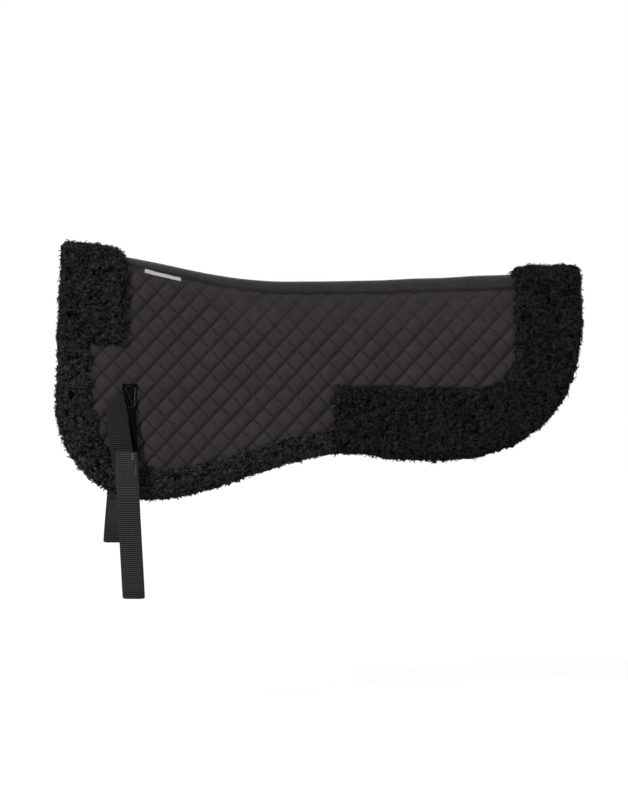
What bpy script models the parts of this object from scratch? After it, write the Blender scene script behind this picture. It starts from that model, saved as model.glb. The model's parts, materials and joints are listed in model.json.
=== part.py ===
"""A half pad, worn between a horse's back and the saddle.

Two quilted flaps, lined and edged with fleece, hang from a smooth padded spine. A webbing
loop with a hook-and-loop closure hangs at each front corner and takes the saddle's girth
strap. The pad is shown folded over a rail, with its two flaps almost closed.

+X points to the pad's rear, +Z up, and its left side is at -Y. The origin is on the underside
of the spine, at the level stretch of the topline. Every flap piece is laid out flat first, as
its maker would cut it: x along the pad, v down the flap and n outwards, away from the horse.
It is then draped over the spine's arch."""

import math

import bmesh
import bpy
from mathutils import Matrix, Vector

MM = 0.001

# Whole pad
PAD_LENGTH = 607 * MM
FRONT_DEPTH = 236 * MM  # lowest point of the front corner, below the origin
WAIST_DEPTH = 184 * MM
SEAT_DEPTH = 191.5 * MM
FRONT_CORNER_LENGTH = 108.5 * MM
FRONT_CORNER_HEIGHT = 110 * MM
SEAT_CORNER_LENGTH = 193.5 * MM
SEAT_CORNER_HEIGHT = 181.5 * MM
SEAT_CORNER_POWER = 2.5  # 2 is an ellipse, and more is squarer
WAIST_FROM_FRONT = 333 * MM
FRONT_EDGE_RAKE = 5 * MM
REAR_EDGE_RAKE = 9 * MM

# Topline and the arch of the spine
POMMEL_RISE = 38 * MM
CANTLE_RISE = 12 * MM
DIP_FROM_FRONT = 258.5 * MM
DIP_LENGTH = 60 * MM
CANTLE_EASE = 0.15
ARCH_RADIUS = 22 * MM
SPINE_THICKNESS = 12 * MM
SPINE_LINING_THICKNESS = 3 * MM
SPINE_COVER_THICKNESS = 2.7 * MM
FLAP_TURN = math.radians(76)  # slope of a hanging flap, down from level
FRONT_SEAM_ARC = 19 * MM  # from the crown of the spine down to the seam, along the arch
REAR_SEAM_ARC = 29 * MM

# Layers of a flap
LINING_THICKNESS = 12 * MM
LINING_START = 52 * MM
LINING_INSET = 1.5 * MM
LINING_EDGE_RADIUS = 8 * MM
FACING_THICKNESS = 1.7 * MM
WADDING_THICKNESS = 4.7 * MM
CHANNEL_THICKNESS = 2.6 * MM  # the quilted cloth along its sewn channels
QUILT_CROWN = 2.4 * MM
DIAMOND_WIDTH = 24.9 * MM
DIAMOND_HEIGHT = 26.7 * MM
QUILT_CROSSING_X = -2.2 * MM  # where two sewn lines cross, in side view
QUILT_CROSSING_Z = -64.4 * MM

# Fleece trims
EDGE_PILE_TOP = 16 * MM
BLOCK_PILE_TOP = 20 * MM
BRIDGE_PILE_TOP = 22 * MM
PILE_EDGE_HEIGHT = 8 * MM
PILE_EDGE_RADIUS = 12 * MM
BRIDGE_END_RADIUS = 20 * MM
BRIDGE_END_HEIGHT = 4 * MM
FRONT_BAND_WIDTH = 41 * MM
FRONT_BAND_TOP_WIDTH = 35 * MM
LOWER_BAND_WIDTH = 30.5 * MM
LOWER_BAND_END_WIDTH = 25 * MM
POMMEL_LENGTH = 82.5 * MM
POMMEL_DEPTH = 55 * MM
POMMEL_CORNER_RADIUS = 8 * MM
SEAT_BLOCK_FROM_FRONT = 322 * MM
SEAT_BLOCK_TOP = 108 * MM
CANTLE_LENGTH = 79.5 * MM
CANTLE_CORNER_RADIUS = 44 * MM
SEAM_CHAMFER = math.radians(60)  # how far the fleece is sheared back where a flap folds
SEAM_RELIEF = 1.5 * MM  # how far below the spine's outer face the shearing starts
BAND_SPLIT_TURN = math.radians(48)

# Label
LABEL_LENGTH = 42 * MM
LABEL_HEIGHT = 5.5 * MM
LABEL_THICKNESS = 0.8 * MM
LABEL_FROM_FRONT = 100 * MM
LABEL_BELOW_SEAM = 1.5 * MM

# Straps
WEBBING_WIDTH = 25 * MM
WEBBING_THICKNESS = 1.8 * MM
ANCHOR_FROM_FRONT = 79.5 * MM
ANCHOR_BOTTOM_DEPTH = 135 * MM
ANCHOR_LENGTH = 30 * MM
ANCHOR_WIDTH = 26 * MM
ANCHOR_THICKNESS = 2.1 * MM
FOLD_LENGTH = 25 * MM
FOLD_APEX_FROM_FRONT = 76 * MM
UPPER_LEG_FROM_FRONT = 69.2 * MM
UPPER_LEG_LENGTH = 97 * MM
UPPER_LEG_LEAN = math.radians(8.5)
LOOP_OPENING = 6.5 * MM
LOOP_SPREAD_LENGTH = 46 * MM
PATCH_LENGTH = 38 * MM
PATCH_WIDTH = 20 * MM
PATCH_THICKNESS = 0.8 * MM
STRAP_BEND_ABOVE_EDGE = 16 * MM  # where it leaves the flap, above the lowest point
STRAP_BEND_LENGTH = 30 * MM
LEFT_STRAP_LENGTH = 214 * MM
LEFT_STRAP_LEAN = math.radians(3.2)
LEFT_TAIL_TOP = 54 * MM
RIGHT_STRAP_LENGTH = 158 * MM
RIGHT_STRAP_LEAN = math.radians(-8)
RIGHT_TAIL_TOP = 52 * MM

SEAT_CORNER_END = math.radians(84)  # turn round the corner at which the rear edge starts

GAP = 0.3 * MM  # between pieces that touch
ROUNDING = (0, 0.12, 0.42, 1)  # edges round a fleece edge, as shares of its radius
SHARPEST_CORNER = 0.2  # keeps an offset corner from running far past its neighbours
CORNER_STEP = math.radians(15)
SMALL_CORNER_STEP = math.radians(30)
FINE_STEP = 2.5 * MM
STATION_STEP = 24 * MM
BRIDGE_STEP = 8 * MM
ARCH_FACETS = 4  # on each side of the spine's crown
FOOT_FACETS = 3  # between the seam and the end of the arch
SPREAD_FACETS = 5
BEND_FACETS = 4
SPINE_CROWN_SHARE = 0.14  # part of the spine's width that is left flat along its crown
PAD = "half_pad"
CUTTERS = "half_pad_cutters"

FRONT_X = -PAD_LENGTH / 2
REAR_X = PAD_LENGTH / 2
FLAP_SINE = math.sin(FLAP_TURN)
FLAP_COSINE = math.cos(FLAP_TURN)
ARCH_LENGTH = ARCH_RADIUS * FLAP_TURN
ARCH_FOOT_Z = SPINE_THICKNESS - ARCH_RADIUS * (1 - FLAP_COSINE)
QUILT_FLOOR = GAP + WADDING_THICKNESS + GAP
QUILT_TOP = QUILT_FLOOR + CHANNEL_THICKNESS + QUILT_CROWN
BAND_INNER_RADIUS = FRONT_CORNER_LENGTH - FRONT_BAND_WIDTH
BAND_END_TURN = PILE_EDGE_RADIUS / (FRONT_CORNER_LENGTH - FRONT_BAND_WIDTH / 2)
BEND_START = (FRONT_DEPTH - ANCHOR_BOTTOM_DEPTH) / FLAP_SINE - STRAP_BEND_ABOVE_EDGE

# Middle of each leg of a strap, off the lining
LEG_START = QUILT_TOP + 2 * GAP + WEBBING_THICKNESS / 2
LEG_REST = EDGE_PILE_TOP + GAP + WEBBING_THICKNESS / 2
UPPER_START = LEG_START + WEBBING_THICKNESS + GAP
UPPER_REST = LEG_REST + WEBBING_THICKNESS + LOOP_OPENING
TAIL_REST = UPPER_REST + WEBBING_THICKNESS + 2 * PATCH_THICKNESS + 3 * GAP
TURN_RADIUS = (TAIL_REST - LEG_REST) / 2


def ease(share):
    share = min(max(share, 0), 1)
    return share * share * (3 - 2 * share)


def topline(x):
    """Height of the spine above its level stretch."""
    dip_start = FRONT_X + DIP_FROM_FRONT
    dip_end = dip_start + DIP_LENGTH
    if x < dip_start:
        return POMMEL_RISE * ease((dip_start - x) / (dip_start - FRONT_X))
    if x <= dip_end:
        return 0.0
    share = (x - dip_end) / (REAR_X - dip_end)
    softened = math.hypot(share, CANTLE_EASE) - CANTLE_EASE
    return CANTLE_RISE * softened / (math.hypot(1, CANTLE_EASE) - CANTLE_EASE)


def seam_slope():
    return (REAR_SEAM_ARC - FRONT_SEAM_ARC) / PAD_LENGTH


def seam_arc(x):
    """Distance from the crown of the spine to the seam, along the arch."""
    return FRONT_SEAM_ARC + seam_slope() * (x - FRONT_X)


def drape(x, arc, n, side):
    """Where a point lies that is arc down from the crown of the spine and n off the lining."""
    turn = min(arc / ARCH_RADIUS, FLAP_TURN)
    run = max(arc - ARCH_LENGTH, 0)
    radius = ARCH_RADIUS - SPINE_THICKNESS + n
    y = radius * math.sin(turn) + run * FLAP_COSINE
    z = SPINE_THICKNESS - ARCH_RADIUS + radius * math.cos(turn) - run * FLAP_SINE
    return Vector((x, side * y, topline(x) + z))


def flat_v(z):
    """The flat layout's v of a point that shows at height z."""
    return ARCH_LENGTH + (ARCH_FOOT_Z - z) / FLAP_SINE


def lower_edge(x):
    """Height of the lower edge between the two corners."""
    front_low = FRONT_X + FRONT_CORNER_LENGTH
    waist = FRONT_X + WAIST_FROM_FRONT
    seat_low = REAR_X - SEAT_CORNER_LENGTH
    if x < waist:
        share = (x - front_low) / (waist - front_low)
        return -FRONT_DEPTH + (FRONT_DEPTH - WAIST_DEPTH) * ease(share)
    share = (x - waist) / (seat_low - waist)
    return -WAIST_DEPTH - (SEAT_DEPTH - WAIST_DEPTH) * ease(share)


def steps(start, end, step):
    """Evenly spaced values from start to end, no further apart than step."""
    count = max(1, math.ceil(abs(end - start) / step - 1e-6))
    return [start + (end - start) * i / count for i in range(count + 1)]


def front_corner(turn, inset_x, inset_z):
    """A point of the front corner, from its front at turn 0 to its lowest at a quarter turn."""
    centre_x = FRONT_X + FRONT_CORNER_LENGTH
    centre_z = -FRONT_DEPTH + FRONT_CORNER_HEIGHT
    x = centre_x - (FRONT_CORNER_LENGTH - inset_x) * math.cos(turn)
    z = centre_z - (FRONT_CORNER_HEIGHT - inset_z) * math.sin(turn)
    return (x, z)


def seat_corner(turn):
    """A point of the seat corner, from its lowest at turn 0 to its rear at a quarter turn."""
    centre_x = REAR_X - SEAT_CORNER_LENGTH
    centre_z = -SEAT_DEPTH + SEAT_CORNER_HEIGHT
    power = 2 / SEAT_CORNER_POWER
    x = centre_x + SEAT_CORNER_LENGTH * math.sin(turn) ** power
    z = centre_z - SEAT_CORNER_HEIGHT * max(math.cos(turn), 0) ** power
    return (x, z)


def front_edge_x(z):
    """The front edge above the corner leans back towards the topline."""
    corner_top = -FRONT_DEPTH + FRONT_CORNER_HEIGHT
    return FRONT_X + FRONT_EDGE_RAKE * (z - corner_top) / (POMMEL_RISE - corner_top)


def rear_edge_x(z):
    corner_top = -SEAT_DEPTH + SEAT_CORNER_HEIGHT
    share = (z - corner_top) / (CANTLE_RISE + SPINE_THICKNESS - corner_top)
    return REAR_X - REAR_EDGE_RAKE * share * share


def front_band_width(z):
    corner_top = -FRONT_DEPTH + FRONT_CORNER_HEIGHT
    share = (z - corner_top) / (-POMMEL_DEPTH - corner_top)
    return FRONT_BAND_WIDTH + (FRONT_BAND_TOP_WIDTH - FRONT_BAND_WIDTH) * min(share, 1)


def lower_band_width(x):
    start = FRONT_X + FRONT_CORNER_LENGTH
    end = FRONT_X + SEAT_BLOCK_FROM_FRONT
    share = (x - start) / (end - start)
    return LOWER_BAND_WIDTH + (LOWER_BAND_END_WIDTH - LOWER_BAND_WIDTH) * share


def swelling(distance, radius):
    """Share of its full height that a rounded edge has reached, this far in from the edge."""
    share = min(max(distance / radius, 0), 1)
    return math.sqrt(1 - (1 - share) ** 2)


def offset_loop(points, distance):
    """The closed outline moved inwards; its points run clockwise as seen from outside."""
    moved = []
    count = len(points)
    for i, point in enumerate(points):
        before = Vector(point) - Vector(points[i - 1])
        after = Vector(points[(i + 1) % count]) - Vector(point)
        before.normalize()
        after.normalize()
        normal = Vector((-before.y - after.y, before.x + after.x))
        normal *= 2 / max(normal.length_squared, SHARPEST_CORNER)
        moved.append((point[0] + normal.x * distance, point[1] + normal.y * distance))
    return moved


def loft(sections):
    """A closed solid through sections of equal length, capped at both ends."""
    bm = bmesh.new()
    rings = [[bm.verts.new(point) for point in section] for section in sections]
    for ring, following in zip(rings, rings[1:]):
        for i in range(len(ring)):
            j = (i + 1) % len(ring)
            bm.faces.new((ring[i], ring[j], following[j], following[i]))
    bm.faces.new(rings[0])
    bm.faces.new(rings[-1])
    bmesh.ops.recalc_face_normals(bm, faces=bm.faces)
    return bm


def clip(bm, point, normal):
    """Keeps what lies on the side that the normal points to, and closes the cut."""
    geometry = bm.verts[:] + bm.edges[:] + bm.faces[:]
    bmesh.ops.bisect_plane(
        bm, geom=geometry, plane_co=point, plane_no=normal, clear_inner=True, dist=1e-7
    )
    open_edges = [edge for edge in bm.edges if edge.is_boundary]
    bmesh.ops.holes_fill(bm, edges=open_edges, sides=0)


def score(bm, axis, places):
    """Adds edges across the mesh where it has to bend."""
    for place in places:
        point = Vector((0, 0, 0))
        point[axis] = place
        normal = Vector((0, 0, 0))
        normal[axis] = 1
        geometry = bm.verts[:] + bm.edges[:] + bm.faces[:]
        bmesh.ops.bisect_plane(bm, geom=geometry, plane_co=point, plane_no=normal, dist=1e-6)


def score_along(bm):
    score(bm, 0, steps(FRONT_X, REAR_X, STATION_STEP)[1:-1])


def flat_to_arc(bm):
    """Moves a flat layout down so that its second coordinate is the arc from the crown."""
    for vert in bm.verts:
        vert.co.y += topline(vert.co.x) / FLAP_SINE


def trim_at_seam(bm, chamfered=False):
    """Cuts the top of a flap piece at the seam; fleece is sheared to a slope there."""
    line = Vector((FRONT_X, seam_arc(FRONT_X) + GAP / 2, SPINE_THICKNESS - SEAM_RELIEF))
    clip(bm, line, Vector((-seam_slope(), 1, 0)))
    if chamfered:
        clip(bm, line, Vector((-seam_slope(), 1, -math.tan(SEAM_CHAMFER))))


def score_arch(bm):
    """Edges across the stretch below the seam that still bends round the arch."""
    spread = (ARCH_LENGTH - FRONT_SEAM_ARC) / FOOT_FACETS
    score(bm, 1, [ARCH_LENGTH - i * spread for i in range(FOOT_FACETS)])


def drape_mesh(bm, side):
    bmesh.ops.triangulate(bm, faces=bm.faces)
    for vert in bm.verts:
        vert.co = drape(vert.co.x, vert.co.y, vert.co.z, side)
    bmesh.ops.recalc_face_normals(bm, faces=bm.faces)


def plate(outline, low, high):
    """A flat plate of the outline's shape, from one height off the lining to another."""
    points = [(x, flat_v(z)) for x, z in outline]
    return loft([[(x, v, height) for x, v in points] for height in (low, high)])


def strip(stations, top, start_rounded, end_rounded):
    """A roll of fleece between two guide lines: one (outer, inner) pair of points a station."""
    middles = [(Vector(outer) + Vector(inner)) / 2 for outer, inner in stations]
    travelled = [0.0]
    for here, following in zip(middles, middles[1:]):
        travelled.append(travelled[-1] + (following - here).length)
    sections = []
    for (outer, inner), distance in zip(stations, travelled):
        end_share = 1.0
        if start_rounded:
            end_share *= swelling(distance, PILE_EDGE_RADIUS)
        if end_rounded:
            end_share *= swelling(travelled[-1] - distance, PILE_EDGE_RADIUS)
        start = Vector((outer[0], flat_v(outer[1])))
        across = Vector((inner[0], flat_v(inner[1]))) - start
        width = across.length
        radius = min(PILE_EDGE_RADIUS, width / 2 - GAP)
        places = [share * radius for share in ROUNDING]
        places += [width - place for place in reversed(places)]
        section = []
        for place in places:
            share = swelling(min(place, width - place), radius) * end_share
            point = start + across * (place / width)
            height = PILE_EDGE_HEIGHT + (top - PILE_EDGE_HEIGHT) * share
            section.append((point.x, point.y, height))
        section.append((start.x + across.x, start.y + across.y, GAP))
        section.append((start.x, start.y, GAP))
        sections.append(section)
    return loft(sections)


def heights(start, end, step=STATION_STEP):
    """Steps from start to end with finer ones at the end, where the fleece rounds off."""
    towards = 1 if end > start else -1
    near = [end - towards * share * PILE_EDGE_RADIUS for share in reversed(ROUNDING)]
    return steps(start, near[0], step) + near[1:]


def pommel_stations():
    end_x = FRONT_X + POMMEL_LENGTH
    corner_z = -POMMEL_DEPTH + POMMEL_CORNER_RADIUS
    stations = []
    for z in steps(POMMEL_RISE + SPINE_THICKNESS, corner_z, STATION_STEP):
        stations.append(((front_edge_x(z), z), (end_x, z)))
    for turn in steps(0, math.pi / 2, SMALL_CORNER_STEP)[1:]:
        z = corner_z - POMMEL_CORNER_RADIUS * math.sin(turn)
        x = end_x - POMMEL_CORNER_RADIUS * (1 - math.cos(turn))
        stations.append(((front_edge_x(z), z), (x, z)))
    return stations


def front_band_stations():
    corner_top = -FRONT_DEPTH + FRONT_CORNER_HEIGHT
    start = -POMMEL_DEPTH - GAP
    stations = []
    for z in reversed(heights(corner_top, start)):
        stations.append(((front_edge_x(z), z), (FRONT_X + front_band_width(z), z)))
    turns = steps(0, BAND_SPLIT_TURN - BAND_END_TURN, CORNER_STEP)[1:]
    turns += [BAND_SPLIT_TURN - share * BAND_END_TURN for share in reversed(ROUNDING[:-1])]
    for turn in turns:
        stations.append(band_corner(turn))
    return stations


def band_corner(turn):
    return (
        front_corner(turn, 0, 0),
        front_corner(turn, FRONT_BAND_WIDTH, LOWER_BAND_WIDTH),
    )


def lower_band_stations():
    start = BAND_SPLIT_TURN + 2 * GAP / BAND_INNER_RADIUS
    turns = [start + share * BAND_END_TURN for share in ROUNDING[:-1]]
    turns += steps(start + BAND_END_TURN, math.pi / 2, CORNER_STEP)
    stations = [band_corner(turn) for turn in turns]
    low_x = FRONT_X + FRONT_CORNER_LENGTH
    end_x = FRONT_X + SEAT_BLOCK_FROM_FRONT - GAP
    for x in heights(low_x, end_x)[1:]:
        z = lower_edge(x)
        stations.append(((x, z), (x, z + lower_band_width(x))))
    return stations


def seat_edge(x):
    """Height of the lower edge under the seat block."""
    reach = (x - (REAR_X - SEAT_CORNER_LENGTH)) / SEAT_CORNER_LENGTH
    if reach <= 0:
        return lower_edge(x)
    return seat_corner(math.asin(reach ** (SEAT_CORNER_POWER / 2)))[1]


def seat_stations():
    start_x = FRONT_X + SEAT_BLOCK_FROM_FRONT
    cantle_x = REAR_X - CANTLE_LENGTH
    corner_x = cantle_x - CANTLE_CORNER_RADIUS
    corner_z = -SEAT_BLOCK_TOP + CANTLE_CORNER_RADIUS
    reach = (corner_x - (REAR_X - SEAT_CORNER_LENGTH)) / SEAT_CORNER_LENGTH
    first_turn = math.asin(reach ** (SEAT_CORNER_POWER / 2))
    stations = []
    for x in reversed(heights(corner_x, start_x)):
        stations.append(((x, seat_edge(x)), (x, -SEAT_BLOCK_TOP)))
    for turn in steps(0, math.pi / 2, CORNER_STEP)[1:]:
        outer_turn = first_turn + (SEAT_CORNER_END - first_turn) * turn / (math.pi / 2)
        x = corner_x + CANTLE_CORNER_RADIUS * math.sin(turn)
        z = corner_z - CANTLE_CORNER_RADIUS * math.cos(turn)
        stations.append((seat_corner(outer_turn), (x, z)))
    outer_z = seat_corner(SEAT_CORNER_END)[1]
    top_z = CANTLE_RISE + SPINE_THICKNESS
    seat_top = -SEAT_DEPTH + SEAT_CORNER_HEIGHT
    for z in steps(corner_z, top_z, STATION_STEP)[1:]:
        share = (z - corner_z) / (top_z - corner_z)
        edge_z = outer_z + (top_z - outer_z) * share
        edge_x = rear_edge_x(edge_z) if edge_z > seat_top else seat_corner(SEAT_CORNER_END)[0]
        stations.append(((edge_x, edge_z), (cantle_x, z)))
    return stations


def quilt_outline():
    """The quilted field: what the fleece trims leave free, and above it past the seam."""
    inner = [station[1] for station in pommel_stations()]
    inner += [station[1] for station in front_band_stations()][1:]
    inner += [station[1] for station in lower_band_stations()][1:]
    seat = [station[1] for station in seat_stations()]
    top = POMMEL_RISE + SPINE_THICKNESS
    loop = inner + seat + [(REAR_X - CANTLE_LENGTH, top)]
    return offset_loop(loop, GAP)


def trim_outline():
    """The whole flap's edge, from the front of the topline round to its rear."""
    loop = [station[0] for station in pommel_stations()[:-3]]
    loop += [station[0] for station in front_band_stations()[1:-3]]
    loop += [station[0] for station in lower_band_stations()[2:-3]]
    loop += [station[0] for station in seat_stations()[3:]]
    return loop


def diamonds():
    """Quilted cloth as a block: each diamond rises to a crown between its sewn channels."""
    half_width = DIAMOND_WIDTH / 2
    half_height = DIAMOND_HEIGHT / 2 / FLAP_SINE
    origin_v = flat_v(QUILT_CROSSING_Z)
    columns = math.ceil((PAD_LENGTH / 2 + abs(QUILT_CROSSING_X)) / half_width)
    rows = math.ceil((FRONT_DEPTH + POMMEL_RISE) / half_height)
    bm = bmesh.new()
    nodes = {}
    for i in range(-columns, columns + 1):
        for j in range(-rows, rows + 1):
            crown = (i + j) % 2 * QUILT_CROWN
            x = QUILT_CROSSING_X + i * half_width
            v = origin_v + j * half_height
            nodes[i, j] = bm.verts.new((x, v, QUILT_FLOOR + CHANNEL_THICKNESS + crown))
    for i in range(1 - columns, columns):
        for j in range(1 - rows, rows):
            if (i + j) % 2 == 0:
                continue
            corners = [nodes[i + 1, j], nodes[i, j + 1], nodes[i - 1, j], nodes[i, j - 1]]
            for k in range(4):
                bm.faces.new((nodes[i, j], corners[k], corners[(k + 1) % 4]))
    bmesh.ops.delete(bm, geom=[v for v in bm.verts if not v.link_faces], context="VERTS")
    made = bmesh.ops.extrude_face_region(bm, geom=bm.faces[:])
    for item in made["geom"]:
        if isinstance(item, bmesh.types.BMVert):
            item.co.z = QUILT_FLOOR - BLOCK_PILE_TOP
    bmesh.ops.recalc_face_normals(bm, faces=bm.faces)
    return bm


def helper_object(name, bm):
    mesh = bpy.data.meshes.new(name)
    bm.to_mesh(mesh)
    bm.free()
    obj = bpy.data.objects.new(name, mesh)
    obj.hide_render = True
    obj.display_type = "WIRE"
    bpy.data.collections[CUTTERS].objects.link(obj)
    return obj


def intersection(first, second):
    """What two solids share, as a new bmesh."""
    kept = helper_object("kept", first)
    cutter = helper_object("cutter", second)
    modifier = kept.modifiers.new("shared", "BOOLEAN")
    modifier.operation = "INTERSECT"
    modifier.object = cutter
    bpy.context.view_layer.update()
    graph = bpy.context.evaluated_depsgraph_get()
    shared = bpy.data.meshes.new_from_object(kept.evaluated_get(graph))
    bm = bmesh.new()
    bm.from_mesh(shared)
    for obj in (kept, cutter):
        mesh = obj.data
        bpy.data.objects.remove(obj)
        bpy.data.meshes.remove(mesh)
    bpy.data.meshes.remove(shared)
    bmesh.ops.remove_doubles(bm, verts=bm.verts, dist=1e-6)
    return bm


def quilted_shell(side):
    block = plate(quilt_outline(), QUILT_FLOOR, QUILT_TOP + QUILT_CROWN)
    score_along(block)
    bm = intersection(block, diamonds())
    flat_to_arc(bm)
    trim_at_seam(bm)
    score_arch(bm)
    drape_mesh(bm, side)
    return bm


def wadding(side):
    bm = plate(quilt_outline(), GAP, GAP + WADDING_THICKNESS)
    score_along(bm)
    flat_to_arc(bm)
    trim_at_seam(bm)
    score_arch(bm)
    drape_mesh(bm, side)
    return bm


def fleece_lining(side):
    outline = offset_loop(trim_outline(), LINING_INSET)
    levels = [(0, 0)]
    for turn in steps(0, math.pi / 2, SMALL_CORNER_STEP):
        rise = LINING_EDGE_RADIUS * (1 - math.sin(turn))
        levels.append((LINING_EDGE_RADIUS * (1 - math.cos(turn)), rise - LINING_THICKNESS))
    sections = []
    for inset, height in levels:
        sections.append([(x, flat_v(z), height) for x, z in offset_loop(outline, inset)])
    bm = loft(sections)
    score_along(bm)
    flat_to_arc(bm)
    clip(bm, Vector((0, LINING_START, 0)), Vector((0, 1, 0)))
    drape_mesh(bm, side)
    return bm


def channel_facing(side):
    """The cloth strip inside the flap, between the seam and the start of the fleece."""
    front = FRONT_X + FRONT_EDGE_RAKE + LINING_INSET
    rear = REAR_X - REAR_EDGE_RAKE - LINING_INSET
    top = POMMEL_RISE + SPINE_THICKNESS
    outline = [(front, top), (front, -LINING_START - top), (rear, -LINING_START - top), (rear, top)]
    bm = plate(outline, -FACING_THICKNESS, 0)
    score_along(bm)
    flat_to_arc(bm)
    trim_at_seam(bm)
    clip(bm, Vector((0, LINING_START - GAP, 0)), Vector((0, -1, 0)))
    score_arch(bm)
    drape_mesh(bm, side)
    return bm


def pommel_fleece(side):
    bm = strip(pommel_stations(), BLOCK_PILE_TOP, False, True)
    score_along(bm)
    flat_to_arc(bm)
    trim_at_seam(bm, chamfered=True)
    score_arch(bm)
    drape_mesh(bm, side)
    return bm


def front_edge_fleece(side):
    bm = strip(front_band_stations(), EDGE_PILE_TOP, True, True)
    flat_to_arc(bm)
    drape_mesh(bm, side)
    return bm


def lower_edge_fleece(side):
    bm = strip(lower_band_stations(), EDGE_PILE_TOP, True, True)
    flat_to_arc(bm)
    drape_mesh(bm, side)
    return bm


def rear_fleece(side):
    bm = strip(seat_stations(), BLOCK_PILE_TOP, True, False)
    flat_to_arc(bm)
    trim_at_seam(bm, chamfered=True)
    score_arch(bm)
    drape_mesh(bm, side)
    return bm


def label(side):
    """A blank woven label that follows the seam."""
    start = FRONT_X + LABEL_FROM_FRONT
    low = QUILT_TOP + GAP
    sections = []
    for x in steps(start, start + LABEL_LENGTH, LABEL_LENGTH / 2):
        top = seam_arc(x) + LABEL_BELOW_SEAM
        section = [(x, top, low), (x, top + LABEL_HEIGHT, low)]
        section += [(x, v, height + LABEL_THICKNESS) for x, v, height in reversed(section)]
        sections.append(section)
    bm = loft(sections)
    score_arch(bm)
    drape_mesh(bm, side)
    return bm


def arch_strip(stations, low, half_turns):
    """A strip bent over the spine: its height at each station, from edge to edge of the seams."""
    sections = []
    for x, high in stations:
        edge = seam_arc(x) - GAP / 2
        upper = []
        lower = []
        for share in half_turns:
            arc = abs(share) * edge
            side = -1 if share < 0 else 1
            upper.append(drape(x, arc, high, side))
            lower.append(drape(x, arc, low, side))
        sections.append(upper + lower[::-1])
    bm = loft(sections)
    bmesh.ops.triangulate(bm, faces=bm.faces)
    return bm


def arch_shares(crown_share, count):
    """Places across the spine with one flat stretch over its crown."""
    right = steps(crown_share, 1, (1 - crown_share) / count)
    return [-share for share in reversed(right)] + right


def spine_stations():
    """Places along the spine, spread evenly on each side of its level stretch."""
    dip_start = FRONT_X + DIP_FROM_FRONT
    dip_end = dip_start + DIP_LENGTH
    front = steps(FRONT_X + FRONT_EDGE_RAKE, dip_start, STATION_STEP)
    return front + steps(dip_end, REAR_X - REAR_EDGE_RAKE, STATION_STEP)


def spine_piece(low, high):
    stations = [(x, high) for x in spine_stations()]
    return arch_strip(stations, low, arch_shares(SPINE_CROWN_SHARE, ARCH_FACETS))


def bridge(start, end, rising):
    """Fleece across the spine. It thins out at the end that faces the rider."""
    low = SPINE_THICKNESS + GAP
    stations = []
    for x in steps(start, end, BRIDGE_STEP):
        inner = end - x if rising < 0 else x - start
        outer = x - start if rising < 0 else end - x
        share = swelling(inner, BRIDGE_END_RADIUS) * swelling(outer + FINE_STEP, PILE_EDGE_RADIUS)
        high = low + BRIDGE_END_HEIGHT + (BRIDGE_PILE_TOP - low - BRIDGE_END_HEIGHT) * share
        stations.append((x, high))
    return arch_strip(stations, low, arch_shares(SPINE_CROWN_SHARE, ARCH_FACETS))


def strap_front_x():
    """The straps lie parallel to the flap where it stands out most, under their front edges."""
    return FRONT_X + ANCHOR_FROM_FRONT - WEBBING_WIDTH


def anchor_arc():
    return flat_v(-ANCHOR_BOTTOM_DEPTH) + topline(strap_front_x()) / FLAP_SINE


def hanging(x, t, n, side):
    """A point of a strap, t below the anchor: along the flap, then bending to hang plumb."""
    straight = min(t, BEND_START)
    bent = min(max(t - BEND_START, 0), STRAP_BEND_LENGTH)
    plumb = max(t - BEND_START - STRAP_BEND_LENGTH, 0)
    radius = STRAP_BEND_LENGTH / (math.pi / 2 - FLAP_TURN)
    turn = FLAP_TURN + bent / radius
    start = drape(strap_front_x(), anchor_arc() + straight, 0, 1)
    y = start.y + radius * (math.sin(turn) - FLAP_SINE) + n * math.sin(turn)
    z = start.z + radius * (math.cos(turn) - FLAP_COSINE) + n * math.cos(turn) - plumb
    return Vector((x, side * y, z))


def ribbon(path, thickness, width, centre, side):
    """Webbing along a path of (t, n) places; centre gives the x of its middle at t."""
    sections = []
    for i, (t, n) in enumerate(path):
        before = Vector(path[max(i - 1, 0)])
        after = Vector(path[min(i + 1, len(path) - 1)])
        along = (after - before).normalized()
        normal = Vector((-along.y, along.x)) * (thickness / 2)
        x = centre(t)
        section = []
        for edge, face in ((-1, -1), (1, -1), (1, 1), (-1, 1)):
            place = (t + face * normal.x, n + face * normal.y)
            section.append(hanging(x + edge * width / 2, place[0], place[1], side))
        sections.append(section)
    bm = loft(sections)
    bmesh.ops.triangulate(bm, faces=bm.faces)
    return bm


def spreading(t, start, rest):
    """Distance off the lining as a leg leaves the anchor and comes to lie over the fleece."""
    return start + (rest - start) * ease(t / LOOP_SPREAD_LENGTH)


def strap_middle(lean):
    def centre(t):
        return FRONT_X + ANCHOR_FROM_FRONT + t * math.tan(lean)

    return centre


def upper_middle(t):
    return FRONT_X + UPPER_LEG_FROM_FRONT + t * math.tan(UPPER_LEG_LEAN)


def down_strap(start, end):
    """Steps down a strap, closer where it leaves the anchor and where it bends to hang."""
    bend_end = BEND_START + STRAP_BEND_LENGTH
    marks = [start]
    for low, high, step in (
        (start, LOOP_SPREAD_LENGTH, LOOP_SPREAD_LENGTH / SPREAD_FACETS),
        (LOOP_SPREAD_LENGTH, BEND_START, PAD_LENGTH),
        (BEND_START, bend_end, STRAP_BEND_LENGTH / BEND_FACETS),
        (bend_end, end, PAD_LENGTH),
    ):
        if high > marks[-1]:
            marks += steps(max(low, marks[-1]), high, step)[1:]
    return [t for t in marks if t < end - GAP] + [end]


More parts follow.
